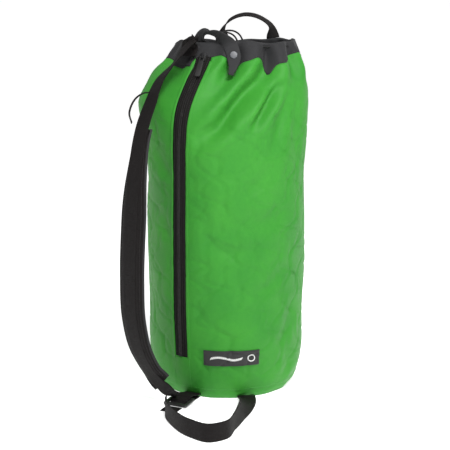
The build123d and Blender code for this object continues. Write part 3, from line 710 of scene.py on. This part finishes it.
def outward_of(line):
    """Level directions away from the bag's upright axis."""
    line = np.asarray(line)
    out = np.stack([line[:, 0], line[:, 1], 0 * line[:, 0]], -1)
    return out / np.linalg.norm(out, axis=1)[:, None]


def skin_line(turns, heights, lift):
    line = skin(turns, heights, lift)
    return line, outward_of(line)


# %% [markdown]
# ## The zip
# A coil zip has two woven tapes, each with a spiral of monofilament sewn to its edge. From
# outside one sees the tape, two lines of stitches, and the row of coil turns down the middle.
# The tapes lie just under the cloth's edge, and the coil stands a little proud.

# %% Tapes and coil
zip_heights = np.linspace(ZIP_LOW + 0.4, ZIP_HIGH - 0.4, 166)


def strip_beside_zip(name, aside_from, aside_to, lift_from, lift_to, heights, material):
    share = np.linspace(0, 1, 5)
    aside = aside_from + share * (aside_to - aside_from)
    turn = np.stack([turn_beside_zip(heights, a) for a in aside], 1)
    lift = lift_from + share * (lift_to - lift_from)
    points = skin(turn, heights[:, None], lift[None, :])
    across, up = np.broadcast_arrays(aside[None, :] * MM, heights[:, None] * MM)
    return grid_piece(name, points, np.stack([across, up], -1), material)


COIL_STEP = 0.0021
COIL_TURN = (0.0016, 0.0034, 0.0019)
COIL_SLANT = 0.12
for side, name in ((-1, "left"), (1, "right")):
    limits = sorted((side * 0.15, side * (SLOT_HALF + 0.2)))
    lifts = (-0.1, -1.0) if side > 0 else (-1.0, -0.1)
    tape = strip_beside_zip(f"tape_{name}", *limits, *lifts, zip_heights, zip_tape)
    settle(tape, "bag", "zip_tape", f"zip_tape_{name}", thickness=0.0006)
    coil_heights = np.linspace(ZIP_LOW + 6, ZIP_HIGH - 15, 160)
    middle = skin_line(turn_beside_zip(coil_heights, side * 1.45), coil_heights, 0.75)
    coil = repeated(f"coil_{name}", [middle], COIL_STEP, COIL_TURN, coil_plastic, COIL_SLANT * side)
    place(coil, "bag", "zip_coil", f"zip_coil_{name}")

# %% [markdown]
# The cloth beside the zip is folded back and stitched down in two lines, which carry on below
# the zip to the base. The tape has its own black stitches, next to the coil.

# %% Stitches beside the zip
seam_heights = np.linspace(14, 546, 180)
green_lines = [
    skin_line(turn_beside_zip(seam_heights, aside), seam_heights, 0.15)
    for aside in (-SLOT_HALF - 2.6, SLOT_HALF + 2.6)
]
zip_stitches = repeated("zip_stitches", green_lines, STITCH_STEP, STITCH, green_thread)
place(zip_stitches, "bag", "green_cloth")

tape_lines = [
    skin_line(turn_beside_zip(zip_heights, aside), zip_heights, -0.1)
    for aside in (-9.5, -5.2, 5.2, 9.5)
]
tape_stitches = repeated("tape_stitches", tape_lines, 0.0034, (0.0006, 0.0006, 0.0026), black_thread)
place(tape_stitches, "bag", "zip_tape")

band_heights = np.linspace(ZIP_LOW - 2, 548, 150)
for side in (-1, 1):
    folded = strip_beside_zip(
        f"folded_edge_{'left' if side < 0 else 'right'}",
        *sorted((side * (SLOT_HALF - 0.4), side * (SLOT_HALF + 4.4))),
        0.5,
        0.5,
        band_heights,
        green_cloth,
    )
    settle(folded, "bag", "green_cloth", thickness=0.0007)

# %% [markdown]
# A seam joins the wall to the base, close to the floor, and another joins it to the collar.

# %% Seam stitches
round_turns = np.linspace(-pi, pi, 240)
base_line = skin_line(round_turns, np.full(240, 17.0), 0.2)
base_stitches = repeated("base_stitches", [base_line], 0.0042, (0.0007, 0.0007, 0.0032), green_thread)
place(base_stitches, "bag", "green_cloth")

zip_at_seam = float(zip_turn(np.array(552.0)))
seam_turns = zip_at_seam + np.linspace(0.17, 2 * pi - 0.17, 420)
seam_line = skin_line(seam_turns, seam_height(seam_turns) + 2.2, 0.25)
collar_stitches = repeated("collar_stitches", [seam_line], STITCH_STEP, STITCH, black_thread)
place(collar_stitches, "bag", "black_cloth")


# %% [markdown]
# ## Webbing
# A strap is a band: a flat oval section carried along a smooth line, and turned as it goes.
# The band's own width and length go into its UV map, so that the ribs follow every twist.

# %% Bands
def smooth_route(route, count):
    """Evenly spaced points on a smooth line through the route's points."""
    route = np.asarray(route, float)
    reach = np.r_[0, np.cumsum(np.linalg.norm(np.diff(route, axis=0), axis=1))]
    fine = np.linspace(0, reach[-1], count * 8)
    line = np.stack([smooth_curve(reach, route[:, axis], fine) for axis in range(3)], 1)
    run = np.r_[0, np.cumsum(np.linalg.norm(np.diff(line, axis=0), axis=1))]
    even = np.linspace(0, run[-1], count)
    return np.stack([np.interp(even, run, line[:, axis]) for axis in range(3)], 1), even, reach


def band_frames(route, across, count):
    line, run, reach = smooth_route(route, count)
    tangent = np.gradient(line, axis=0)
    tangent /= np.linalg.norm(tangent, axis=1)[:, None]
    share = run / run[-1] * reach[-1]
    width = np.stack([np.interp(share, reach, [a[axis] for a in across]) for axis in range(3)], 1)
    width -= tangent * (width * tangent).sum(1)[:, None]
    width /= np.linalg.norm(width, axis=1)[:, None]
    return line, run, width, np.cross(tangent, width)


def oval(width, thickness, side_points=9):
    """A flat section with round edges: points (across, out), in order round it."""
    flat = np.linspace(-1, 1, side_points) * (width - thickness) / 2
    turn = np.linspace(-pi / 2, pi / 2, 5)[1:-1]
    edge = (width - thickness) / 2
    right = np.stack([edge + np.cos(turn) * thickness / 2, np.sin(turn) * thickness / 2], 1)
    top = np.stack([flat[::-1], np.full(side_points, thickness / 2)], 1)
    bottom = np.stack([flat, np.full(side_points, -thickness / 2)], 1)
    left = -right
    return np.concatenate([bottom, right, top, left])


def loft_piece(name, line, run, width, normal, sections, material):
    """A closed solid through one section at each point of the line."""
    rows = len(line)
    around = sections.shape[1]
    points = line[:, None] + sections[..., :1] * width[:, None] + sections[..., 1:] * normal[:, None]
    faces = []
    for i in range(rows - 1):
        for j in range(around):
            k = (j + 1) % around
            faces.append((i * around + j, i * around + k, (i + 1) * around + k, (i + 1) * around + j))
    faces.append(tuple(range(around))[::-1])
    faces.append(tuple((rows - 1) * around + j for j in range(around)))
    uv = np.stack(np.broadcast_arrays(sections[..., 0] * MM, run[:, None] * MM), -1)
    return new_piece(name, points.reshape(-1, 3) * MM, faces, material, uv.reshape(-1, 2))


def band(name, route, across, width, thickness, count, material=webbing, taper=None, curl=0.0):
    """Webbing along a route, in millimetres."""
    line, run, side, normal = band_frames(route, across, count)
    section_points = oval(width, thickness)
    sections = np.repeat(section_points[None], count, 0)
    if taper is not None:
        sections[..., 0] *= np.asarray(taper)[:, None]
    sections[..., 1] += curl * (1 - (sections[..., 0] / (width / 2)) ** 2)
    return loft_piece(name, line, run, side, normal, sections, material)


def band_stitches(name, route, across, offsets, rise, count, step=STITCH_STEP):
    """Lines of black stitches on a band's two faces."""
    line, _, side, normal = band_frames(route, across, count)
    lines = []
    for offset in offsets:
        for face in (-1, 1):
            points = (line + side * offset + normal * face * rise) * MM
            lines.append((points, normal * face))
    return repeated(name, lines, step, STITCH, black_thread)


print("bands ready")

# %% [markdown]
# ## Shoulder strap
# The strap is one length of webbing that swings out from the collar and comes down to the
# ladder lock by the base. Its middle is covered by a padded sleeve with bound edges.

# %% Strap
STRAP_ROUTE = [
    (-50, -62, 583), (-66, -66, 568), (-83, -68, 545), (-106, -77, 518), (-120, -93, 483),
    (-131, -112, 450), (-144, -139, 370), (-149, -152, 290), (-152, -154, 210), (-150, -152, 140),
    (-138, -147, 85), (-121, -143, 52), (-105, -146, 33), (-89, -150, 22), (-78, -150, 17.5),
]
LEVEL = (0.707, -0.707, 0)
ANCHOR = radians(27)
ANCHOR_SIDE = (cos(ANCHOR), -sin(ANCHOR), 0)
STRAP_ACROSS = [
    (0.75, -0.6, 0.2), (0.45, -0.85, 0.1), (0.1, -1, 0), (0.45, -0.85, 0), (0.65, -0.75, 0),
    LEVEL, LEVEL, LEVEL, LEVEL, LEVEL, LEVEL, LEVEL, (0.8, -0.6, 0), ANCHOR_SIDE, ANCHOR_SIDE,
]
strap_taper = 0.55 + 0.45 * smooth_step(np.linspace(0, 1, 170), 0, 0.06)
strap = band("shoulder_webbing", STRAP_ROUTE, STRAP_ACROSS, 30, 1.8, 170, webbing, strap_taper)
settle(strap, "strap", "webbing", "strap_webbing")

# %% [markdown]
# The pad is foam in a sewn sleeve. Its face is crowned, its edges are pinched where they are
# bound, and small cross wrinkles show where it bends. The wrinkles are moves of the mesh.

# %% Pad
PAD_START = 11 / 40
PAD_END = 38 / 40
PAD_WIDTH = 54.0
PAD_DEPTH = 12.0
PAD_SHIFT = -4.9
PAD_ROWS = 230


def pad_section(count=33):
    """Unit section: across -1 to 1 on the outer face, and back on the inner face."""
    across = np.linspace(-1, 1, count)
    crown = (1 - np.abs(across) ** 3.2) ** 0.55
    outer = np.stack([across, 0.16 + 0.84 * crown], 1)
    inner = np.stack([across[::-1], -0.16 - 0.84 * crown[::-1]], 1)
    return np.concatenate([outer[::-1], inner[::-1]])


line, run, width, normal = band_frames(STRAP_ROUTE, STRAP_ACROSS, 400)
first, last = int(PAD_START * 399), int(PAD_END * 399)
pick = np.round(np.linspace(first, last, PAD_ROWS)).astype(int)
unit = pad_section()
pad_run = run[pick]
ends = np.minimum(pad_run - pad_run[0], pad_run[-1] - pad_run)
plump = 0.45 + 0.55 * smooth_step(ends, 0, 22)
sections = np.repeat(unit[None], PAD_ROWS, 0) * np.array([PAD_WIDTH / 2, PAD_DEPTH / 2])
narrow = 0.62 + 0.38 * smooth_step(pad_run - pad_run[0], 10, 150)
sections[..., 0] *= narrow[:, None]
half_pad = (narrow * PAD_WIDTH / 2)[:, None]
sections[..., 1] *= plump[:, None]
edge = np.abs(unit[:, 0])
wrinkle = np.zeros((PAD_ROWS, len(unit)))
for pitch, phase, lean, size in ((9.5, 0.0, 2.4, 0.42), (14.2, 1.1, -3.0, 0.38), (6.3, 2.3, 1.5, 0.22)):
    wrinkle += size * np.sin(2 * pi * pad_run[:, None] / pitch + phase + lean * unit[None, :, 0])
wrinkle = -np.abs(wrinkle) * (1 - edge**4) * smooth_step(ends, 4, 20)[:, None]
groove = -1.5 * np.exp(-(((edge - 0.80) / 0.045) ** 2))
seam = -1.2 * np.exp(-(((unit[:, 0] - 0.42) / 0.04) ** 2))
sections[..., 1] += np.sign(unit[:, 1]) * (wrinkle + groove + seam)
sections[..., 1] += PAD_SHIFT
pad = loft_piece("strap_pad", line[pick], pad_run, width[pick], normal[pick], sections, pad_cloth)
settle(pad, "strap", "pad_cloth", "pad_cover", "pad_foam")

pad_line = line[pick] + normal[pick] * PAD_SHIFT
for side in (-1, 1):
    rim = pad_line + width[pick] * side * (half_pad + 0.1)
    flat = oval(3.4, 4.2, 5)
    binding = loft_piece(
        f"pad_binding_{'left' if side < 0 else 'right'}",
        rim,
        pad_run,
        width[pick],
        normal[pick],
        np.repeat(flat[None], PAD_ROWS, 0),
        black_cloth,
    )
    settle(binding, "strap", "black_cloth", "pad_binding")
pad_lines = []
for offset in (-0.80, 0.42, 0.80):
    for face in (-1, 1):
        depth = PAD_DEPTH / 2 * (0.16 + 0.84 * (1 - abs(offset) ** 3.2) ** 0.55) - 1.0
        points = pad_line + width[pick] * offset * half_pad + normal[pick] * face * depth
        pad_lines.append((points[6:-6] * MM, normal[pick][6:-6] * face))
pad_stitches = repeated("pad_stitches", pad_lines, 0.0036, (0.0008, 0.0008, 0.0028), black_thread)
place(pad_stitches, "strap", "pad_cloth")

# %% [markdown]
# The strap's top end passes through a folded tab, which is sewn to the collar under a patch.

# %% Strap's top
FOLD_ROUTE = [
    (-61, -49.2, 556), (-58, -44.7, 570), (-52, -56, 582), (-49, -58, 585.5), (-48.6, -62, 583),
]
PATCH_LEVEL = (0.88, -0.475, 0)
FOLD_ACROSS = [PATCH_LEVEL, PATCH_LEVEL, (0.75, -0.6, 0.2), (0.75, -0.6, 0.2), (0.75, -0.6, 0.2)]
fold_taper = 1 - 0.5 * smooth_step(np.linspace(0, 1, 40), 0.35, 0.85)
settle(
    band("strap_fold", FOLD_ROUTE, FOLD_ACROSS, 30, 1.8, 40, webbing, fold_taper),
    "bag", "webbing", "strap_top_tab",
)


def patch(name, turn_from, turn_to, low, high, lift, material, body_name, slot, *nodes):
    """A patch sewn flat on the folded cloth."""
    turn = np.linspace(turn_from, turn_to, 19)[None, :]
    height = np.linspace(low, high, 17)[:, None]
    turn, height = np.broadcast_arrays(turn, height)
    piece = grid_piece(name, skin(turn, height, lift), cloth_distances(turn, height), material)
    return settle(piece, body_name, slot, *nodes, thickness=0.001)


patch("strap_patch_cloth", -0.93, -0.62, 540, 572, 1.3, black_cloth, "bag", "webbing", "strap_patch")
HANDLE_TURNS = (pi + 0.26, pi - 0.68)
for turn, side in zip(HANDLE_TURNS, ("left", "right")):
    sides = (turn - 0.11, turn + 0.11)
    patch(f"handle_foot_{side}", *sides, 551, 577, 1.9, webbing, "bag", "webbing", "handle_ends")

# %% [markdown]
# A thin tape makes a small loop beside the strap, for clipping gear to.

# %% Gear loop
GEAR_ROUTE = [
    (-122, -85, 500), (-130, -83, 499), (-142, -86, 492), (-150, -92, 480), (-153, -98, 467),
    (-149, -103, 453),
]
gear = band("gear_tape_loop", GEAR_ROUTE, [(0.3, -0.95, 0)] * 6, 9, 1.4, 40)
settle(gear, "gear_tape", "webbing", "gear_loop")

# %% [markdown]
# ## Top handle
# The carrying handle is narrower webbing. Its ends lie flat on the back of the collar, and in
# between it turns on its edge.

# %% Handle
HANDLE_ROUTE = [
    (-6, 50.5, 581), (-5, 48.5, 594), (5, 45.5, 609), (31, 44.5, 620), (60, 40.2, 614), (77, 41.2, 600),
    (80, 41.2, 581),
]
ALONG_FEET = (0.994, -0.108, 0)
EDGE_ON = (0.15, 0.9, 0.35)
HANDLE_ACROSS = [ALONG_FEET, (0.5, 0.8, 0.2), EDGE_ON, EDGE_ON, EDGE_ON, (0.6, 0.7, 0), ALONG_FEET]
along_handle = np.linspace(0, 1, 90)
handle_taper = 1 - 0.32 * smooth_step(along_handle, 0, 0.15) * smooth_step(along_handle, 1, 0.85)
handle = band("carry_handle", HANDLE_ROUTE, HANDLE_ACROSS, 22, 2.0, 90, webbing, handle_taper)
settle(handle, "handle", "webbing", "top_handle")
for x, y, side in ((-6, 50.5, "left"), (80, 41.2, "right")):
    root = [(x, y + 1.5, 571), (x, y + 0.8, 576), (x, y, 581.5)]
    settle(band(f"handle_root_{side}", root, [ALONG_FEET] * 3, 22, 2.0, 8), "bag", "webbing")

# %% [markdown]
# ## Closure tab
# A cloth tab comes up from inside the hem, arches over the mouth and snaps to the front of
# the collar. Its end narrows to a point.

# %% Tab
TAB_ROUTE = [
    (-43, -28.4, 577.2), (-38, -33, 588), (-22, -47, 591), (-5, -57, 584), (8, -58.2, 571),
    (13, -63.9, 556), (12, -71.4, 541), (8, -80.5, 527),
]
TAB_ACROSS = [
    (0.92, -0.39, 0), (0.65, -0.75, 0), (0.45, -0.9, 0.1), (0.65, -0.7, 0.35), (0.87, 0.15, 0.46),
    (1, 0, 0.1), (1, 0, 0), (1, 0, -0.1),
]
TAB_ROWS = 70
tab_taper = 1 - 0.62 * smooth_step(np.linspace(0, 1, TAB_ROWS), 0.72, 1.0)
tab = band("closure_flap", TAB_ROUTE, TAB_ACROSS, 23, 1.8, TAB_ROWS, black_cloth, tab_taper, 0.8)
settle(tab, "tab", "webbing", "closure_tab")
tab_seams = band_stitches("closure_flap_stitches", TAB_ROUTE, TAB_ACROSS, (-6.5, 6.5), 1.15, 40)
place(tab_seams, "tab", "webbing")
TAB_ROOT = [(-43, -34.8, 562.8), (-43, -32, 569), (-43, -29.3, 574.8)]
settle(
    band("closure_flap_root", TAB_ROOT, [(0.92, -0.39, 0)] * 3, 23, 1.6, 10, black_cloth),
    "bag", "webbing", "closure_tab_root",
)

# %% [markdown]
# ## Lower anchor, ladder lock and tail
# The anchor webbing comes out of the base seam and folds round the ladder lock's first bar.
# The strap goes through the lock, and its long tail lies on its edge on the floor in a loop,
# and comes back to the base seam.

# %% Anchor and roll
LOCK_REACH = 152.0
LOCK_HEIGHT = 7.0
LOCK_TILT = radians(6)


def in_anchor_plane(reach, height):
    return (-sin(ANCHOR) * reach, -cos(ANCHOR) * reach, height)


def in_lock(along_lock, above):
    """A point in the tilted lock: distance past the first bar, and height above its middle."""
    reach = LOCK_REACH + along_lock * cos(LOCK_TILT) + above * sin(LOCK_TILT)
    return in_anchor_plane(reach, LOCK_HEIGHT - along_lock * sin(LOCK_TILT) + above * cos(LOCK_TILT))


anchor_route = [in_anchor_plane(r, h) for r, h in (
    (86, 3.8), (112, 4.2), (130, 7.4), (147, 11.2), (153.5, 10.6), (156.2, 7), (153.5, 3.4), (147, 2.8),
    (132, 2.4), (122, 2.6),
)]
settle(
    band("anchor_webbing", anchor_route, [ANCHOR_SIDE] * len(anchor_route), 30, 1.8, 110),
    "bag", "webbing", "strap_anchor",
)

roll_route = [in_lock(13 + 4.1 * cos(a), 4.1 * sin(a)) for a in np.radians(np.linspace(100, -150, 9))]
roll_route.insert(0, in_lock(6.4, 4.6))
roll = band("webbing_roll", roll_route, [ANCHOR_SIDE] * len(roll_route), 29.4, 1.8, 60)
settle(roll, "buckle", "webbing", "webbing_in_lock")

# %% Tail
TAIL_AZIMUTH = radians(-16.5)
TAIL_SIDE = (cos(TAIL_AZIMUTH), -sin(TAIL_AZIMUTH), 0)
SEWN = [(-sin(TAIL_AZIMUTH) * r, -cos(TAIL_AZIMUTH) * r, 3.6) for r in (86, 100, 116)]
settle(
    band("tail_end_in_seam", SEWN, [TAIL_SIDE] * 3, 30, 1.8, 12),
    "bag", "webbing", "tail_sewn_end",
)

START = [(-83, -164, 1.3), (-87, -173, 1.3), (-92, -184, 1.3)]
start_sides = [(cos(radians(a)), -sin(radians(a)), 0) for a in (27, 26, 22)]
tail_start = band("tail_flat_start", START, start_sides, 28, 1.8, 14)
settle(tail_start, "bag", "webbing", "tail_start")

UPRIGHT = (0, 0, 1)
TAIL_ROUTE = [
    (-94, -187, 15.6), (-95, -202, 15.6), (-83, -246, 15.6), (-54, -295, 15.6), (-25, -316, 15.6),
    (1, -302, 15.6), (14, -264, 15.6), (26, -216, 15.6), (33, -170, 11), (35, -135, 5),
    (33.9, -114.6, 3.6),
]
TAIL_ACROSS = [UPRIGHT] * 7 + [(-0.3, 0, 0.95), (-0.8, 0, 0.6), (-0.97, -0.2, 0.12), (-0.959, -0.284, 0)]
tail = band("tail_loop", TAIL_ROUTE, TAIL_ACROSS, 30, 1.8, 150)
settle(tail, "tail", "webbing", "tail_webbing")

# %% [markdown]
# Inside the base, a short loop of webbing is ready for the end of the rope.

# %% Rope tie loop
LOOP_TOP = 20.1
loop_side = [(0, LOOP_TOP + 14.1 * sin(a), 14.1 * cos(a)) for a in np.linspace(0, pi, 9)]
loop_route = [(26, 60, 3.1), (17, 60, 3.3), (14.1, 60, 7)]
loop_route += [(across, 60, up) for _, up, across in loop_side]
loop_route += [(-14.1, 60, 7), (-17, 60, 3.3), (-26, 60, 3.1)]
settle(
    band("rope_tie_band", loop_route, [(0, 1, 0)] * len(loop_route), 20, 1.8, 70),
    "bag", "webbing", "rope_tie_loop",
)

# %% [markdown]
# ## Drawcord
# Two strands of braided cord leave the hem's eyelets, arc over the mouth, and hang through
# the cord lock to one knot. Each is a smooth curve through the same points as the CAD tube.

# %% Drawcord strands
STRANDS = [
    [(22.1, -46.7, 570.6), (21.7, -36.5, 566.9), (22, -29, 570.3), (19.5, -25, 578.5), (14, -24, 588),
     (3, -24, 593), (-7, -24.5, 592), (-13.8, -25.5, 584), (-15, -26, 574), (-15, -25.8, 556),
     (-15, -26, 545.2)],
    [(31.1, -46.2, 570.6), (30.3, -36, 567), (31, -24.5, 570.3), (28.5, -20.5, 578.5),
     (23, -19.5, 589.5), (12, -19.5, 596), (-4, -20, 595), (-13.8, -21, 585.5),
     (-15, -21.5, 574), (-15, -21.3, 556),
     (-15, -21.5, 545.2)],
]
CORD = 0.003


def curve_length(curve_object):
    """Length of a curve's own line."""
    plain = curve_object.copy()
    plain.data = curve_object.data.copy()
    plain.data.bevel_depth = 0
    bpy.context.scene.collection.objects.link(plain)
    mesh = bpy.data.meshes.new_from_object(plain.evaluated_get(bpy.context.evaluated_depsgraph_get()))
    points = np.array([v.co for v in mesh.vertices])
    bpy.data.objects.remove(plain)
    return float(np.linalg.norm(np.diff(points, axis=0), axis=1).sum())


for number, route in enumerate(STRANDS, 1):
    data = bpy.data.curves.new(f"cord_strand_{number}", "CURVE")
    data.dimensions = "3D"
    data.bevel_depth = CORD / 2
    data.bevel_resolution = 4
    data.resolution_u = 12
    data.use_fill_caps = True
    spline = data.splines.new("NURBS")
    spline.points.add(len(route) - 1)
    for point, place_mm in zip(spline.points, route):
        point.co = (*(v * MM for v in place_mm), 1)
    spline.order_u = 3
    spline.use_endpoint_u = True
    data.materials.append(braid)
    strand = bpy.data.objects.new(f"cord_strand_{number}", data)
    bpy.context.scene.collection.objects.link(strand)
    length = curve_length(strand)
    print("strand", number, "length", round(length, 4))
    place(strand, "bag", "cord", f"drawcord_strand_{number}")


# %% [markdown]
# ## Small hard parts
# The lock, slider, pull and snap have the right shape already. Their CAD surfaces are copied,
# joined into one skin and given a small round on every edge, because a moulded edge is never
# perfectly sharp and the round is what catches the light.

# %% Rounded copies
def rounded_copy(node, name, round_by, material, body_name, slot, cut=40):
    piece = bpy.data.objects.new(name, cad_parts[node].data.copy())
    bpy.context.scene.collection.objects.link(piece)
    piece.data.materials.clear()
    piece.data.materials.append(material)
    piece.modifiers.new("weld", "WELD").merge_threshold = 0.00001
    flat = piece.modifiers.new("flat", "DECIMATE")
    flat.decimate_type = "DISSOLVE"
    flat.angle_limit = radians(4)
    edge = piece.modifiers.new("edge", "BEVEL")
    edge.width = round_by
    edge.segments = 3
    edge.limit_method = "ANGLE"
    edge.angle_limit = radians(cut)
    finished(piece)
    piece.data.shade_smooth()
    piece.data.set_sharp_from_angle(angle=radians(cut))
    return place(piece, body_name, slot, node)


rounded_copy("ladder_lock", "lock_frame", 0.0009, black_plastic, "buckle", "black_plastic")
rounded_copy("zip_slider", "slider_body", 0.0004, dark_metal, "slider", "zip_metal")
rounded_copy("zip_pull", "pull_tab", 0.0003, black_plastic, "pull", "black_plastic")
rounded_copy("stud_cap", "snap_cap", 0.0002, grey_snap, "tab", "grey_snap")
rounded_copy("cord_lock_body", "lock_barrel", 0.0005, black_plastic, "cord_lock", "black_plastic")
rounded_copy("cord_lock_button", "lock_button", 0.0005, black_plastic, "lock_button", "black_plastic")

# %% [markdown]
# ## Label
# The sewn label is a thin moulded patch with a raised border. Its ornament is a plain length
# of twisted rope: slanted strands, repeated along a wavy line, with a small ring beside it.

# %% Label
LABEL_MIDDLE = 9.0
LABEL_HALF = 45.0
LABEL_LOW = 59.0
LABEL_HIGH = 85.0
LABEL_CENTRE = (LABEL_LOW + LABEL_HIGH) / 2
ORNAMENT_LIFT = 1.75
ROPE_START = LABEL_MIDDLE - 32
ROPE_LENGTH = 48
ROPE_WAVE = 2.2
RING_RADIUS = 5.4


def label_point(x, height, lift):
    shift, half_width, _ = section(np.asarray(height, float))
    turn = np.arcsin(np.clip((x - shift) / half_width, -1, 1))
    return skin(turn, height, lift)


def label_sheet(name, left, right, low, high, lift, depth, material):
    xs = np.linspace(left, right, 46)[None, :]
    zs = np.linspace(low, high, 16)[:, None]
    xs, zs = np.broadcast_arrays(xs, zs)
    piece = grid_piece(name, label_point(xs, zs, lift), np.stack([xs, zs], -1) * MM, material)
    finished(piece, thickness=depth, bevel=0.0003)
    return piece


label = label_sheet("label_plate", LABEL_MIDDLE - LABEL_HALF, LABEL_MIDDLE + LABEL_HALF, LABEL_LOW,
                    LABEL_HIGH, 1.6, 0.0014, label_rubber)
place(label, "bag", "label", "label_patch")

BORDER = 2.2
corners = [
    (LABEL_MIDDLE - LABEL_HALF + BORDER, LABEL_LOW + BORDER),
    (LABEL_MIDDLE + LABEL_HALF - BORDER, LABEL_LOW + BORDER),
    (LABEL_MIDDLE + LABEL_HALF - BORDER, LABEL_HIGH - BORDER),
    (LABEL_MIDDLE - LABEL_HALF + BORDER, LABEL_HIGH - BORDER),
]
border_lines = []
for (x0, z0), (x1, z1) in zip(corners, corners[1:] + corners[:1]):
    share = np.linspace(0, 1, 40)
    points = label_point(x0 + (x1 - x0) * share, z0 + (z1 - z0) * share, 1.7)
    border_lines.append((points, outward_of(points)))
border = repeated("label_border", border_lines, 0.0009, (0.0007, 0.0011, 0.0016), label_rubber)
place(border, "bag", "label")

rope_share = np.linspace(0, 1, 60)
rope_points = label_point(
    ROPE_START + ROPE_LENGTH * rope_share,
    LABEL_CENTRE + ROPE_WAVE * np.sin(2 * pi * rope_share),
    ORNAMENT_LIFT,
)
rope = repeated("label_rope", [(rope_points, outward_of(rope_points))], 0.0031,
                (0.0009, 0.0021, 0.0066), label_relief, radians(38))
place(rope, "bag", "label")
ring_turn = np.linspace(0, 2 * pi, 24)
ring_points = label_point(
    LABEL_MIDDLE + 32 + RING_RADIUS * np.cos(ring_turn),
    LABEL_CENTRE + RING_RADIUS * np.sin(ring_turn),
    ORNAMENT_LIFT,
)
coil_mark = repeated("label_coil", [(ring_points, outward_of(ring_points))], 0.0022,
                     (0.0009, 0.0017, 0.0036), label_relief, radians(24))
place(coil_mark, "bag", "label")

# %% [markdown]
# ## The rest of the CAD parts
# What is left is hidden or nearly so, and its CAD shape is right. Each gets its finish.

# %% Finishes for CAD parts
KEPT = {
    "base_panel": green_cloth, "base_seam_tape": black_cloth, "drawcord_hem": braid,
    "drawcord_eyelets": dark_metal, "cord_end_knot": braid, "cord_lock_spring": spring_steel,
    "zip_bottom_stop": dark_metal, "stud_socket": grey_snap, "stud_post": grey_snap,
}
for node, material in KEPT.items():
    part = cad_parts[node]
    part.data.materials.clear()
    part.data.materials.append(material)
print("finished CAD parts", len(KEPT))

# %% [markdown]
# ## Floor
# The floor is plain and pale, and very large, so that its edge is never seen.

# %% Floor
floor_paint = moulded("floor_paint", (0.90, 0.90, 0.90), (0.94, 0.94, 0.94), 0.9, 0.0, 60)
floor_shader = floor_paint.node_tree.nodes["Principled BSDF"]
floor_shader.inputs["Emission Color"].default_value = (1, 1, 1, 1)
floor_shader.inputs["Emission Strength"].default_value = 0.65
half = 150.0
floor = new_piece("floor", [(-half, -half, 0), (half, -half, 0), (half, half, 0), (-half, half, 0)],
                  [(0, 1, 2, 3)], floor_paint)
